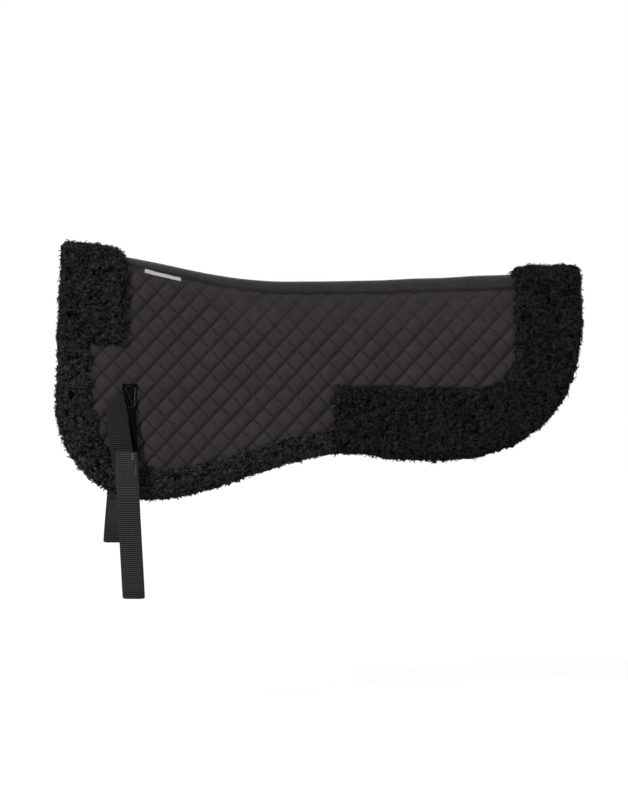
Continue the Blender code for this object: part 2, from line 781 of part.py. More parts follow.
def strap_back_leg(side, length, lean):
    turn_start = length - TURN_RADIUS
    path = [(t, spreading(t, LEG_START, LEG_REST)) for t in down_strap(GAP, turn_start)]
    for turn in steps(0, math.pi, SMALL_CORNER_STEP)[1:]:
        t = turn_start + TURN_RADIUS * math.sin(turn)
        path.append((t, LEG_REST + TURN_RADIUS * (1 - math.cos(turn))))
    return ribbon(path, WEBBING_THICKNESS, WEBBING_WIDTH, strap_middle(lean), side)


def strap_upper_leg(side):
    path = [(t, spreading(t, UPPER_START, UPPER_REST)) for t in down_strap(GAP, UPPER_LEG_LENGTH)]
    return ribbon(path, WEBBING_THICKNESS, WEBBING_WIDTH, upper_middle, side)


def strap_tail(side, length, lean, top):
    bottom = length - TURN_RADIUS - GAP
    path = [(t, TAIL_REST) for t in down_strap(GAP, bottom) if t > top]
    path = [(top, TAIL_REST)] + path
    return ribbon(path, WEBBING_THICKNESS, WEBBING_WIDTH, strap_middle(lean), side)


def patch(side, n, top, centre):
    """One half of the hook-and-loop closure."""
    middle_x = centre(top + PATCH_LENGTH / 2)
    start = top + FINE_STEP
    path = [(t, n) for t in steps(start, start + PATCH_LENGTH, PAD_LENGTH)]
    return ribbon(path, PATCH_THICKNESS, PATCH_WIDTH, lambda t: middle_x, side)


def strap_anchor(side):
    """The webbing's end, sewn flat on the quilting."""
    middle = FRONT_X + ANCHOR_FROM_FRONT
    bottom = -ANCHOR_BOTTOM_DEPTH
    top = bottom + ANCHOR_LENGTH
    left = middle - ANCHOR_WIDTH / 2
    right = middle + ANCHOR_WIDTH / 2
    low = QUILT_TOP + GAP
    outline = [(left, bottom), (left, top), (right, top), (right, bottom)]
    bm = plate(outline, low, low + ANCHOR_THICKNESS)
    score(bm, 0, [middle])
    flat_to_arc(bm)
    drape_mesh(bm, side)
    return bm


def strap_fold(side):
    """The corner where the webbing turns from the sewn end and heads down the flap."""
    middle = FRONT_X + UPPER_LEG_FROM_FRONT
    bottom = -ANCHOR_BOTTOM_DEPTH
    apex = FRONT_X + FOLD_APEX_FROM_FRONT
    low = QUILT_TOP + 2 * GAP + ANCHOR_THICKNESS
    outline = [
        (middle - WEBBING_WIDTH / 2, bottom),
        (apex, bottom + FOLD_LENGTH),
        (middle + WEBBING_WIDTH / 2, bottom),
    ]
    bm = plate(outline, low, low + WEBBING_THICKNESS)
    flat_to_arc(bm)
    drape_mesh(bm, side)
    return bm


def flap_hinge(side):
    """Two points of the line that a flap folds about, and its direction."""
    front = FRONT_X + FRONT_EDGE_RAKE
    rear = REAR_X - REAR_EDGE_RAKE
    first = drape(front, seam_arc(front), SPINE_THICKNESS, side)
    last = drape(rear, seam_arc(rear), SPINE_THICKNESS, side)
    return first, last


def strap_hinge(side):
    return hanging(FRONT_X + ANCHOR_FROM_FRONT, 0, UPPER_START + WEBBING_THICKNESS / 2, side)


def tail_hinge(side, length, lean):
    bottom = length - TURN_RADIUS
    x = strap_middle(lean)(bottom)
    return hanging(x, bottom, TAIL_REST + WEBBING_THICKNESS / 2, side)


def cloth(name, colour, roughness):
    material = bpy.data.materials.new(name)
    material.use_nodes = True
    shader = material.node_tree.nodes["Principled BSDF"]
    shader.inputs["Base Color"].default_value = (*colour, 1)
    shader.inputs["Roughness"].default_value = roughness
    shader.inputs["Metallic"].default_value = 0
    material.diffuse_color = (*colour, 1)
    return material


def add_piece(name, bm, material, hinge=None):
    """A named object, with its origin at the hinge that carries it."""
    mesh = bpy.data.meshes.new(name)
    bmesh.ops.recalc_face_normals(bm, faces=bm.faces)
    bm.to_mesh(mesh)
    bm.free()
    mesh.materials.append(material)
    obj = bpy.data.objects.new(name, mesh)
    bpy.data.collections[PAD].objects.link(obj)
    if hinge:
        bpy.context.view_layer.update()
        mesh.transform(hinge.matrix_world.inverted())
        obj.parent = hinge
    return obj


def add_hinge(name, place, along, parent=None):
    """An empty on a joint's axis, with its X along the axis."""
    empty = bpy.data.objects.new(name, None)
    empty.empty_display_size = WEBBING_WIDTH
    bpy.data.collections[PAD].objects.link(empty)
    turned = along.to_track_quat("X", "Z").to_matrix().to_4x4()
    world = Matrix.Translation(place) @ turned
    if parent:
        bpy.context.view_layer.update()
        empty.parent = parent
        world = parent.matrix_world.inverted() @ world
    empty.matrix_basis = world
    bpy.context.view_layer.update()
    return empty


def add_spine(fleece, smooth):
    cover_low = SPINE_THICKNESS - SPINE_COVER_THICKNESS
    front = FRONT_X + FRONT_EDGE_RAKE
    rear = REAR_X - REAR_EDGE_RAKE
    pommel_end = FRONT_X + POMMEL_LENGTH
    cantle_start = REAR_X - CANTLE_LENGTH
    add_piece("spine_cover", spine_piece(cover_low, SPINE_THICKNESS), smooth)
    add_piece("spine_wadding", spine_piece(SPINE_LINING_THICKNESS + GAP, cover_low - GAP), smooth)
    add_piece("spine_lining", spine_piece(0, SPINE_LINING_THICKNESS), smooth)
    add_piece("pommel_fleece_bridge", bridge(front, pommel_end, -1), fleece)
    add_piece("cantle_fleece_bridge", bridge(cantle_start, rear, 1), fleece)


def add_flap(name, side, cloths):
    fleece, smooth, quilted, webbing = cloths
    first, last = flap_hinge(side)
    hinge = add_hinge(f"{name}_flap_fold", first, last - first)
    made = (
        ("quilted_shell", quilted_shell(side), quilted),
        ("wadding", wadding(side), smooth),
        ("fleece_lining", fleece_lining(side), fleece),
        ("channel_facing", channel_facing(side), smooth),
        ("pommel_fleece", pommel_fleece(side), fleece),
        ("front_edge_fleece", front_edge_fleece(side), fleece),
        ("lower_edge_fleece", lower_edge_fleece(side), fleece),
        ("rear_fleece", rear_fleece(side), fleece),
        ("strap_anchor", strap_anchor(side), webbing),
        ("strap_fold", strap_fold(side), webbing),
    )
    for part, bm, material in made:
        add_piece(f"{name}_{part}", bm, material, hinge)
    return hinge


def add_strap(name, side, flap, webbing, length, lean, tail_top):
    middle = strap_middle(lean)
    swing = add_hinge(f"{name}_strap_swing", strap_hinge(side), Vector((1, 0, 0)), flap)
    upper_face = UPPER_REST + (WEBBING_THICKNESS + PATCH_THICKNESS) / 2 + GAP
    tail_face = TAIL_REST - (WEBBING_THICKNESS + PATCH_THICKNESS) / 2 - GAP
    add_piece(f"{name}_strap_back_leg", strap_back_leg(side, length, lean), webbing, swing)
    add_piece(f"{name}_strap_upper_leg", strap_upper_leg(side), webbing, swing)
    add_piece(f"{name}_loop_patch", patch(side, upper_face, tail_top, upper_middle), webbing, swing)
    peel = add_hinge(f"{name}_tail_peel", tail_hinge(side, length, lean), Vector((1, 0, 0)), swing)
    add_piece(f"{name}_strap_tail", strap_tail(side, length, lean, tail_top), webbing, peel)
    add_piece(f"{name}_hook_patch", patch(side, tail_face, tail_top, middle), webbing, peel)


def clear_scene():
    for obj in list(bpy.data.objects):
        bpy.data.objects.remove(obj)
    for name in (PAD, CUTTERS):
        collection = bpy.data.collections.new(name)
        bpy.context.scene.collection.children.link(collection)


def main():
    clear_scene()
    fleece = cloth("black_fleece", (0.012, 0.012, 0.013), 1.0)
    smooth = cloth("smooth_black_cotton", (0.03, 0.03, 0.031), 0.8)
    quilted = cloth("quilted_black_cotton", (0.028, 0.023, 0.024), 0.85)
    webbing = cloth("black_webbing", (0.032, 0.032, 0.029), 0.7)
    silver = cloth("silver_label", (0.45, 0.45, 0.46), 0.45)
    add_spine(fleece, smooth)
    cloths = (fleece, smooth, quilted, webbing)
    left = add_flap("left", -1, cloths)
    right = add_flap("right", 1, cloths)
    add_piece("blank_label", label(-1), silver, left)
    add_strap("left", -1, left, webbing, LEFT_STRAP_LENGTH, LEFT_STRAP_LEAN, LEFT_TAIL_TOP)
    add_strap("right", 1, right, webbing, RIGHT_STRAP_LENGTH, RIGHT_STRAP_LEAN, RIGHT_TAIL_TOP)


if __name__ == "__main__":
    main()
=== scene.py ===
"""The look of the half pad: quilted flaps edged with fleece, a smooth spine and webbing straps.

Every piece is laid out flat first, as in the part's own source: x along the pad, arc down from
the crown of the spine and n outwards from the lining. It is then draped over the spine's arch.
The left flap hangs at -Y and faces the camera."""

import itertools
import json
import math

import bpy
import numpy as np
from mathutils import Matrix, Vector


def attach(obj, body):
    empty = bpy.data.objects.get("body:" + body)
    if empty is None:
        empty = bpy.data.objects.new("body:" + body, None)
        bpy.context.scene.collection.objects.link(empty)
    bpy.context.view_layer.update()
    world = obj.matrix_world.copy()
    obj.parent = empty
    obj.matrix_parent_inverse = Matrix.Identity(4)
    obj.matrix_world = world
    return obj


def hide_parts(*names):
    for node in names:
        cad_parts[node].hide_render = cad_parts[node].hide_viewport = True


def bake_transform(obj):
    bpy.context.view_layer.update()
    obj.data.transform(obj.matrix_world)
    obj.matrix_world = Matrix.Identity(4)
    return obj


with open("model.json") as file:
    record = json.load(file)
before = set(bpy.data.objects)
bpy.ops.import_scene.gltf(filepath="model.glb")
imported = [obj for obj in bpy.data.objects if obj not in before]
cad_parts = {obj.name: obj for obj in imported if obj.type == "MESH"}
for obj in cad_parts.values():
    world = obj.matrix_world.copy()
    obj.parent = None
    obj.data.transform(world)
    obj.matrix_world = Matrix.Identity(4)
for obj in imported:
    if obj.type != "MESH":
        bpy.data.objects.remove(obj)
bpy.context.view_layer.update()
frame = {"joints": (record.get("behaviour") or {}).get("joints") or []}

MM = 0.001
SIDES = {"left": -1, "right": 1}

# The part's own sizes, repeated from its source
PAD_LENGTH = 607 * MM
FRONT_DEPTH = 236 * MM
WAIST_DEPTH = 184 * MM
SEAT_DEPTH = 191.5 * MM
FRONT_CORNER_LENGTH = 108.5 * MM
FRONT_CORNER_HEIGHT = 110 * MM
SEAT_CORNER_LENGTH = 193.5 * MM
SEAT_CORNER_HEIGHT = 181.5 * MM
SEAT_CORNER_POWER = 2.5
SEAT_CORNER_END = math.radians(84)
WAIST_FROM_FRONT = 333 * MM
REAR_EDGE_RAKE = 9 * MM
POMMEL_RISE = 38 * MM
CANTLE_RISE = 12 * MM
DIP_FROM_FRONT = 258.5 * MM
DIP_LENGTH = 60 * MM
CANTLE_EASE = 0.15
ARCH_RADIUS = 22 * MM
SPINE_THICKNESS = 12 * MM
FLAP_TURN = math.radians(76)
LINING_THICKNESS = 12 * MM
LINING_START = 52 * MM
LINING_EDGE_RADIUS = 8 * MM
QUILT_TOP = 10.3 * MM
DIAMOND_WIDTH = 24.9 * MM
DIAMOND_HEIGHT = 26.7 * MM
QUILT_CROSSING_X = -2.2 * MM
QUILT_CROSSING_Z = -64.4 * MM
EDGE_PILE_TOP = 16 * MM
BLOCK_PILE_TOP = 20 * MM
BRIDGE_PILE_TOP = 22 * MM
FRONT_BAND_WIDTH = 41 * MM
FRONT_BAND_TOP_WIDTH = 35 * MM
LOWER_BAND_WIDTH = 30.5 * MM
LOWER_BAND_END_WIDTH = 25 * MM
BAND_SPLIT_TURN = math.radians(48)
POMMEL_LENGTH = 82.5 * MM
POMMEL_DEPTH = 55 * MM
POMMEL_CORNER_RADIUS = 8 * MM
SEAT_BLOCK_FROM_FRONT = 322 * MM
SEAT_BLOCK_TOP = 108 * MM
CANTLE_LENGTH = 79.5 * MM
LABEL_FROM_FRONT = 100 * MM
LABEL_LENGTH = 42 * MM
WEBBING_WIDTH = 25 * MM
WEBBING_THICKNESS = 1.8 * MM
ANCHOR_FROM_FRONT = 79.5 * MM
ANCHOR_BOTTOM_DEPTH = 135 * MM
ANCHOR_LENGTH = 30 * MM
ANCHOR_WIDTH = 26 * MM
ANCHOR_THICKNESS = 2.1 * MM
FOLD_LENGTH = 25 * MM
FOLD_APEX_FROM_FRONT = 76 * MM
UPPER_LEG_FROM_FRONT = 69.2 * MM
UPPER_LEG_LENGTH = 97 * MM
UPPER_LEG_LEAN = math.radians(8.5)
LOOP_OPENING = 6.5 * MM
LOOP_SPREAD_LENGTH = 46 * MM
PATCH_LENGTH = 38 * MM
PATCH_WIDTH = 20 * MM
PATCH_THICKNESS = 0.8 * MM
STRAP_BEND_ABOVE_EDGE = 16 * MM
STRAP_BEND_LENGTH = 30 * MM
STRAPS = {  # each one's length, its lean and where its tail starts
    "left": (214 * MM, math.radians(3.2), 54 * MM),
    "right": (158 * MM, math.radians(-8), 52 * MM),
}
GAP = 0.3 * MM

# Sizes that differ a little from the source's plainer solids
FRONT_EDGE_RAKE = 4 * MM
FRONT_SEAM_ARC = 17 * MM
REAR_SEAM_ARC = 28 * MM
CANTLE_CORNER_RADIUS = 48 * MM
LABEL_HEIGHT = 5 * MM
LABEL_BELOW_SEAM = 1.3 * MM

FRONT_X = -PAD_LENGTH / 2
REAR_X = PAD_LENGTH / 2
CORNER_X = FRONT_X + FRONT_CORNER_LENGTH
CORNER_TOP = -FRONT_DEPTH + FRONT_CORNER_HEIGHT
SEAT_X = REAR_X - SEAT_CORNER_LENGTH
SEAT_TOP = -SEAT_DEPTH + SEAT_CORNER_HEIGHT
FLAP_SINE = math.sin(FLAP_TURN)
FLAP_COSINE = math.cos(FLAP_TURN)
ARCH_LENGTH = ARCH_RADIUS * FLAP_TURN
ARCH_FOOT_Z = SPINE_THICKNESS - ARCH_RADIUS * (1 - FLAP_COSINE)
BEND_START = (FRONT_DEPTH - ANCHOR_BOTTOM_DEPTH) / FLAP_SINE - STRAP_BEND_ABOVE_EDGE
LEG_START = QUILT_TOP + 2 * GAP + WEBBING_THICKNESS / 2
LEG_REST = EDGE_PILE_TOP + GAP + WEBBING_THICKNESS / 2
UPPER_START = LEG_START + WEBBING_THICKNESS + GAP
UPPER_REST = LEG_REST + WEBBING_THICKNESS + LOOP_OPENING
TAIL_REST = UPPER_REST + WEBBING_THICKNESS + 2 * PATCH_THICKNESS + 3 * GAP
TURN_RADIUS = (TAIL_REST - LEG_REST) / 2

# The camera stands well off, as with a long lens, and looks straight at the left flap
PIXEL = 1.15 * MM
PICTURE_HEIGHT_PIXELS = 800
VIEW_X = -6.9 * MM
VIEW_Z = -123.7 * MM
CAMERA_DISTANCE = 4.0
FLAP_FACE_Y = -0.06

SENSOR = 36.0


def placed(name, data):
    """A new object in the scene."""
    obj = bpy.data.objects.new(name, data)
    bpy.context.scene.collection.objects.link(obj)
    return obj


lens = bpy.data.cameras.new("camera")
lens.sensor_width = SENSOR
lens.lens = SENSOR * (CAMERA_DISTANCE + FLAP_FACE_Y) / (PICTURE_HEIGHT_PIXELS * PIXEL)
camera = placed("camera", lens)
camera.location = (VIEW_X, -CAMERA_DISTANCE, VIEW_Z)
camera.rotation_euler = (math.pi / 2, 0, 0)
bpy.context.scene.camera = camera


# Arithmetic on whole arrays


def ease(share):
    share = np.clip(share, 0, 1)
    return share * share * (3 - 2 * share)


def mix(start, end, share):
    return start + (end - start) * share


def swelling(distance, radius):
    """How far a rounded edge has risen at this distance from its foot, from 0 to 1."""
    share = np.clip(distance / radius, 0, 1)
    return np.sqrt(1 - (1 - share) ** 2)


def stacked(*values):
    """Points or rows from their coordinates."""
    return np.stack(np.broadcast_arrays(*values), axis=-1)


def unit(vectors):
    return vectors / np.maximum(np.linalg.norm(vectors, axis=-1, keepdims=True), 1e-12)


def distances(line):
    """How far along the line each of its points lies."""
    return np.concatenate([[0], np.cumsum(np.linalg.norm(np.diff(line, axis=0), axis=1))])


# Shapes shared with the part's source


def topline(x):
    """Height of the spine above its level stretch."""
    dip_start = FRONT_X + DIP_FROM_FRONT
    dip_end = dip_start + DIP_LENGTH
    front = POMMEL_RISE * ease((dip_start - x) / (dip_start - FRONT_X))
    share = np.maximum(x - dip_end, 0) / (REAR_X - dip_end)
    softened = np.hypot(share, CANTLE_EASE) - CANTLE_EASE
    return front + CANTLE_RISE * softened / (math.hypot(1, CANTLE_EASE) - CANTLE_EASE)


def seam_arc(x):
    """Distance from the crown of the spine to the seam, along the arch."""
    return mix(FRONT_SEAM_ARC, REAR_SEAM_ARC, (x - FRONT_X) / PAD_LENGTH)


def drape(x, arc, n, side):
    """Where points lie that are arc down from the crown of the spine and n off the lining."""
    turn = np.minimum(arc / ARCH_RADIUS, FLAP_TURN)
    run = np.maximum(arc - ARCH_LENGTH, 0)
    radius = ARCH_RADIUS - SPINE_THICKNESS + n
    y = radius * np.sin(turn) + run * FLAP_COSINE
    z = SPINE_THICKNESS - ARCH_RADIUS + radius * np.cos(turn) - run * FLAP_SINE
    return stacked(x, side * y, topline(x) + z)


def arc_at(x, z):
    """The arc at which a point of the hanging flap shows at height z."""
    return ARCH_LENGTH + (ARCH_FOOT_Z - z + topline(x)) / FLAP_SINE


def height_at(x, arc):
    return ARCH_FOOT_Z + topline(x) - (arc - ARCH_LENGTH) * FLAP_SINE


def lower_edge(x):
    waist = FRONT_X + WAIST_FROM_FRONT
    front = mix(-FRONT_DEPTH, -WAIST_DEPTH, ease((x - CORNER_X) / (waist - CORNER_X)))
    return front - (SEAT_DEPTH - WAIST_DEPTH) * ease((x - waist) / (SEAT_X - waist))


def front_corner(turn, inset_x, inset_z):
    x = CORNER_X - (FRONT_CORNER_LENGTH - inset_x) * np.cos(turn)
    z = CORNER_TOP - (FRONT_CORNER_HEIGHT - inset_z) * np.sin(turn)
    return x, z


def seat_corner(turn):
    power = 2 / SEAT_CORNER_POWER
    x = SEAT_X + SEAT_CORNER_LENGTH * np.sin(turn) ** power
    z = -SEAT_DEPTH + SEAT_CORNER_HEIGHT * (1 - np.maximum(np.cos(turn), 0) ** power)
    return x, z


def seat_edge(x):
    """Height of the lower edge under the seat block."""
    reach = np.clip((x - SEAT_X) / SEAT_CORNER_LENGTH, 0, 1)
    corner_z = seat_corner(np.arcsin(reach ** (SEAT_CORNER_POWER / 2)))[1]
    return np.where(reach > 0, corner_z, lower_edge(x))


def front_edge_x(z):
    return FRONT_X + FRONT_EDGE_RAKE * (z - CORNER_TOP) / (POMMEL_RISE - CORNER_TOP)


def rear_edge_x(z):
    share = np.maximum(z - SEAT_TOP, 0) / (CANTLE_RISE + SPINE_THICKNESS - SEAT_TOP)
    return REAR_X - REAR_EDGE_RAKE * share * share


# Repeatable scatter and noise


def scattered(cells, seed):
    """A value from 0 to 1 for each whole-number cell, always the same for the same seed.

    The long numbers only mix up the bits of the cell's place.
    """
    key = cells.astype(np.int64)
    mixed = key[..., 0] * 374761393 + key[..., 1] * 668265263 + key[..., 2] * 1440662683
    mixed = (mixed + seed * 974711) & 0x7FFFFFFF
    mixed = ((mixed ^ (mixed >> 13)) * 1274126177) & 0x7FFFFFFF
    mixed = ((mixed ^ (mixed >> 15)) * 668265263) & 0x7FFFFFFF
    return ((mixed ^ (mixed >> 14)) & 0xFFFFFF) / 0xFFFFFF


def noise(points, size, seed):
    """Smooth noise from -1 to 1, with features of about this size."""
    scaled = points / size
    cells = np.floor(scaled)
    share = scaled - cells
    share = share * share * (3 - 2 * share)
    total = np.zeros(points.shape[:-1])
    for corner in itertools.product((0, 1), repeat=3):
        near = np.where(corner, share, 1 - share)
        total += near[..., 0] * near[..., 1] * near[..., 2] * scattered(cells + corner, seed)
    return 2 * total - 1


def lumps(points, size, seed):
    """1 at scattered centres about this far apart, falling to 0 halfway between them."""
    scaled = points / size
    cells = np.floor(scaled)
    nearest = np.full(points.shape[:-1], 9.0)
    for corner in itertools.product((-1, 0, 1), repeat=3):
        there = cells + corner
        away = np.zeros(points.shape[:-1])
        for axis in range(3):
            centre = there[..., axis] + scattered(there, seed + axis)
            away += (centre - scaled[..., axis]) ** 2
        nearest = np.minimum(nearest, away)
    return np.clip(1 - nearest / 0.8, 0, 1)


def grid_normals(points):
    """Unit normals of a grid of points, shaped rows by columns by 3."""
    return unit(np.cross(np.gradient(points, axis=0), np.gradient(points, axis=1)))


# Lines and meshes


def spaced(values, line, step):
    """The values given along a line, again at even steps of about this length."""
    travelled = distances(line)
    places = np.linspace(0, travelled[-1], max(2, math.ceil(travelled[-1] / step) + 1))
    return stacked(*(np.interp(places, travelled, column) for column in values.T))


def resampled(line, step):
    line = np.asarray(line, float)
    return spaced(line, line, step)


def inside(x, z, outline):
    """Which points lie inside the closed outline, by the edges that each one faces."""
    result = np.zeros(x.shape, bool)
    for (ax, az), (bx, bz) in zip(outline, np.roll(outline, -1, axis=0)):
        crosses = (az > z) != (bz > z)
        with np.errstate(divide="ignore", invalid="ignore"):
            at = ax + (z - az) * (bx - ax) / (bz - az)
        result ^= crosses & (x < at)
    return result


def add_mesh(name, points, faces, material, cloth=None, **layers):
    """A smooth mesh piece. cloth keeps each point's place on the flat cloth, for its weave.

    The other layers are plain numbers, one for each point.
    """
    mesh = bpy.data.meshes.new(name)
    listed = faces if isinstance(faces, list) else faces.tolist()
    mesh.from_pydata(np.reshape(points, (-1, 3)).tolist(), [], listed)
    mesh.shade_smooth()
    if cloth is not None:
        layer = mesh.attributes.new("cloth", "FLOAT_VECTOR", "POINT")
        layer.data.foreach_set("vector", np.asarray(cloth, np.float32).ravel())
    for layer_name, values in layers.items():
        layer = mesh.attributes.new(layer_name, "FLOAT", "POINT")
        layer.data.foreach_set("value", np.asarray(values, np.float32).ravel())
    mesh.materials.append(material)
    return placed(name, mesh)


def quads(rows, columns, around=False):
    """Faces of a grid of points; around also joins the last column to the first."""
    index = np.arange(rows * columns).reshape(rows, columns)
    if around:
        index = np.concatenate([index, index[:, :1]], axis=1)
    corners = stacked(index[:-1, :-1], index[1:, :-1], index[1:, 1:], index[:-1, 1:])
    return corners.reshape(-1, 4)


def facing(faces, turned):
    """The faces, turned over or as they are."""
    return faces[:, ::-1] if turned else faces


def add_cloth(
    name, x, arc, outer_n, inner_n, side, material, kept=None, turned=False, cloth=None, **layers
):
    """A closed sheet between two heights off the lining, of the cells where kept is true."""
    outer, inner = (drape(x, np.abs(arc), n, side) for n in (outer_n, inner_n))
    count = x.size
    top = quads(*x.shape)
    if kept is not None:
        top = top[kept.ravel()]
    edges = np.concatenate([top[:, [i, (i + 1) % 4]] for i in range(4)])
    keys = {(a, b) for a, b in edges.tolist()}
    rim = np.array([(b, a) for a, b in keys if (b, a) not in keys])
    walls = stacked(rim[:, 0], rim[:, 1], rim[:, 1] + count, rim[:, 0] + count)
    faces = np.concatenate([top, top[:, ::-1] + count, walls])
    points = np.concatenate([outer.reshape(-1, 3), inner.reshape(-1, 3)])
    used, faces = np.unique(faces, return_inverse=True)
    faces = facing(faces.reshape(-1, 4), turned)
    layers = {key: np.tile(values.ravel(), 2)[used] for key, values in layers.items()}
    cloth = stacked(x, arc, 0) if cloth is None else cloth
    cloth = np.tile(cloth.reshape(-1, 3), (2, 1))[used]
    return add_mesh(name, points[used], faces, material, cloth, **layers)


def tubes(paths, radii, sides):
    """Tubes of one radius at each point: paths is count by steps by 3, radii count by steps."""
    count, steps = paths.shape[:2]
    along = unit(np.gradient(paths, axis=1))
    helper = np.where(np.abs(along[..., 2:]) < 0.9, [[[0.0, 0.0, 1.0]]], [[[1.0, 0.0, 0.0]]])
    first = unit(np.cross(along, helper))
    second = np.cross(along, first)
    rings = []
    for k in range(sides):
        turn = 2 * math.pi * k / sides
        rings.append(paths + (first * math.cos(turn) + second * math.sin(turn)) * radii[..., None])
    one = quads(steps, sides, around=True)
    faces = one[None] + (np.arange(count) * steps * sides)[:, None, None]
    return np.stack(rings, axis=2), faces.reshape(-1, 4)


# Fleece

PILE_STEP = 1.0 * MM
PILE_EDGE_RADIUS = 12 * MM
PILE_OVERHANG = 0.5 * MM
EDGE_CENTRE = 0.35  # where the edge of the pile bulges furthest, from its foot to its top
EDGE_FOOT = math.radians(-65)
EDGE_LIMIT = 0.49  # the most of a narrow run's width that one rounded edge takes
BRIDGE_END = 0.6  # on the way from the crown to the seam, where a bridge starts to thin out
BRIDGE_EASE = 0.9
CLUMP_SIZE = 6.2 * MM
CLUMP_RISE = 3.6 * MM
KNOT_SIZE = 3.4 * MM
KNOT_RISE = 1.8 * MM
CLUMP_WARP = 1.8 * MM
WARP_SIZE = 5 * MM
PILE_SWELL = 1.0 * MM
PILE_SWELL_SIZE = 16 * MM
PILE_SINK = 3.6 * MM
CURL_LENGTH = 4.3 * MM
CURL_RADIUS = 1.45 * MM
CURL_THICKNESS = 0.6 * MM
CURL_STEPS = 8
CURL_SIDES = 4
CURL_DENSITY = 150_000  # to the square metre
FOOT_OUT = -1 * MM
FOOT_ON_QUILT = QUILT_TOP - 2.5 * MM
FOOT_ON_SPINE = SPINE_THICKNESS - 1 * MM
BLOCK_END_RADIUS = 9 * MM
SEAM_END_RADIUS = 4 * MM


def pile_section(width, foot_out, foot_in, top, radius_out, radius_in):
    """(across, n) places over a roll of fleece; a radius of 0 leaves that side flat."""
    line = []
    for foot, radius, rising in ((foot_out, radius_out, True), (foot_in, radius_in, False)):
        if radius == 0:
            line.append((width, top))
            continue
        radius = min(radius, width * EDGE_LIMIT)
        centre = mix(foot, top, EDGE_CENTRE)
        side = []
        for turn in np.linspace(EDGE_FOOT, math.pi / 2, 24):
            reach = top - centre if turn > 0 else centre - foot
            across = radius - (radius + PILE_OVERHANG) * math.cos(turn)
            side.append((across, centre + reach * math.sin(turn)))
        line += side if rising else [(width - across, n) for across, n in reversed(side)]
    return np.array(line)


def pile_grid(rows, sections):
    """x, arc and n of a run of fleece, from its guide lines and one section a station."""
    count = max(len(resampled(section, PILE_STEP)) for section in sections)
    grid = []
    for row, section in zip(rows, sections):
        travelled = distances(section)
        places = np.linspace(0, travelled[-1], count)
        across, n = (np.interp(places, travelled, column) for column in section.T)
        width = np.linalg.norm(row[2:] - row[:2])
        x, arc = (start + (end - start) * across / width for start, end in zip(row[:2], row[2:]))
        grid.append(stacked(x, arc, n))
    return np.array(grid)


def fleece_run(rows, full_top, end_radius, bridge_radii=(0, 0)):
    """A run of fleece that is thicker and softer over the spine and rounded at its far end."""
    sections = []
    for row, left in zip(rows, distances(middle_line(rows)[::-1])[::-1]):
        over = 1 - float(ease((row[3] / seam_arc(row[2]) - BRIDGE_END) / BRIDGE_EASE))
        foot_in = mix(FOOT_ON_QUILT, FOOT_ON_SPINE, over)
        top = mix(full_top, BRIDGE_PILE_TOP, over)
        top = mix(foot_in + 2 * MM, top, float(swelling(left, end_radius)))
        radii = (mix(PILE_EDGE_RADIUS, radius, over) for radius in bridge_radii)
        width = np.linalg.norm(row[:2] - row[2:])
        sections.append(pile_section(width, FOOT_OUT, foot_in, top, *radii))
    return pile_grid(rows, sections)


def drape_both(x, arc, n):
    """Drapes points whose arc is negative on the left flap."""
    return drape(x, np.abs(arc), n, np.sign(arc))


def curly(points, normals, seed):
    """The surface pushed out into clumps and knots, and how high each point stands in them, which
    sets the painted shade and light of the pile's colour.
    """
    warp = [noise(points, WARP_SIZE, seed + 7 + axis) for axis in range(3)]
    bent = points + CLUMP_WARP * np.stack(warp, axis=-1)
    clumps = np.sqrt(lumps(bent, CLUMP_SIZE, seed))
    knots = np.sqrt(lumps(bent, KNOT_SIZE, seed + 31))
    patchy = 0.8 + 0.3 * noise(points, 2.5 * CLUMP_SIZE, seed + 57)
    push = CLUMP_RISE * clumps * patchy + KNOT_RISE * knots * (0.4 + 0.6 * clumps)
    push += PILE_SWELL * noise(points, PILE_SWELL_SIZE, seed + 91) - PILE_SINK
    return points + normals * push[..., None], 0.55 * clumps + 0.45 * knots


def curl_paths(points, normals, height, seed):
    """Short corkscrews that stand out of a surface, most of them on its tufts.

    The values returned are their paths, their radii and the height each one stands at.
    """
    chance = np.random.default_rng(seed)
    corner = points[:-1, :-1]
    spanned = np.cross(points[1:, :-1] - corner, points[:-1, 1:] - corner)
    areas = np.linalg.norm(spanned, axis=-1).ravel()
    count = int(areas.sum() * CURL_DENSITY)
    likely = areas * (0.15 + height[:-1, :-1].ravel() ** 2)
    cells = chance.choice(len(areas), count, p=likely / likely.sum())
    rows, columns = np.unravel_index(cells, corner.shape[:2])
    blend = chance.random((count, 2, 1))
    base = points[rows, columns] * (1 - blend[:, 0]) + points[rows + 1, columns] * blend[:, 0]
    base += (points[rows, columns + 1] - points[rows, columns]) * blend[:, 1]
    out = unit(normals[rows, columns] + 0.75 * chance.normal(size=(count, 3)))
    first = unit(np.cross(out, chance.normal(size=(count, 3))))
    second = np.cross(out, first)
    along = np.linspace(0, 1, CURL_STEPS)
    length = CURL_LENGTH * (0.55 + 1.1 * chance.random((count, 1, 1)) ** 3)
    radius = CURL_RADIUS * chance.uniform(0.6, 1.3, (count, 1, 1))
    turns = chance.uniform(0.9, 1.7, (count, 1)) * 2 * math.pi
    angle = chance.uniform(0, 2 * math.pi, (count, 1)) + turns * along
    path = base[:, None] + out[:, None] * (length * (along[None, :, None] - 0.25))
    swing = radius * np.minimum(0.4 + along, 1)[None, :, None]
    path += swing * (first[:, None] * np.cos(angle)[..., None])
    path += swing * (second[:, None] * np.sin(angle)[..., None])
    thick = CURL_THICKNESS * chance.uniform(0.7, 1.25, (count, 1))
    return path, thick * (1.05 - 0.35 * along ** 2), height[rows, columns]


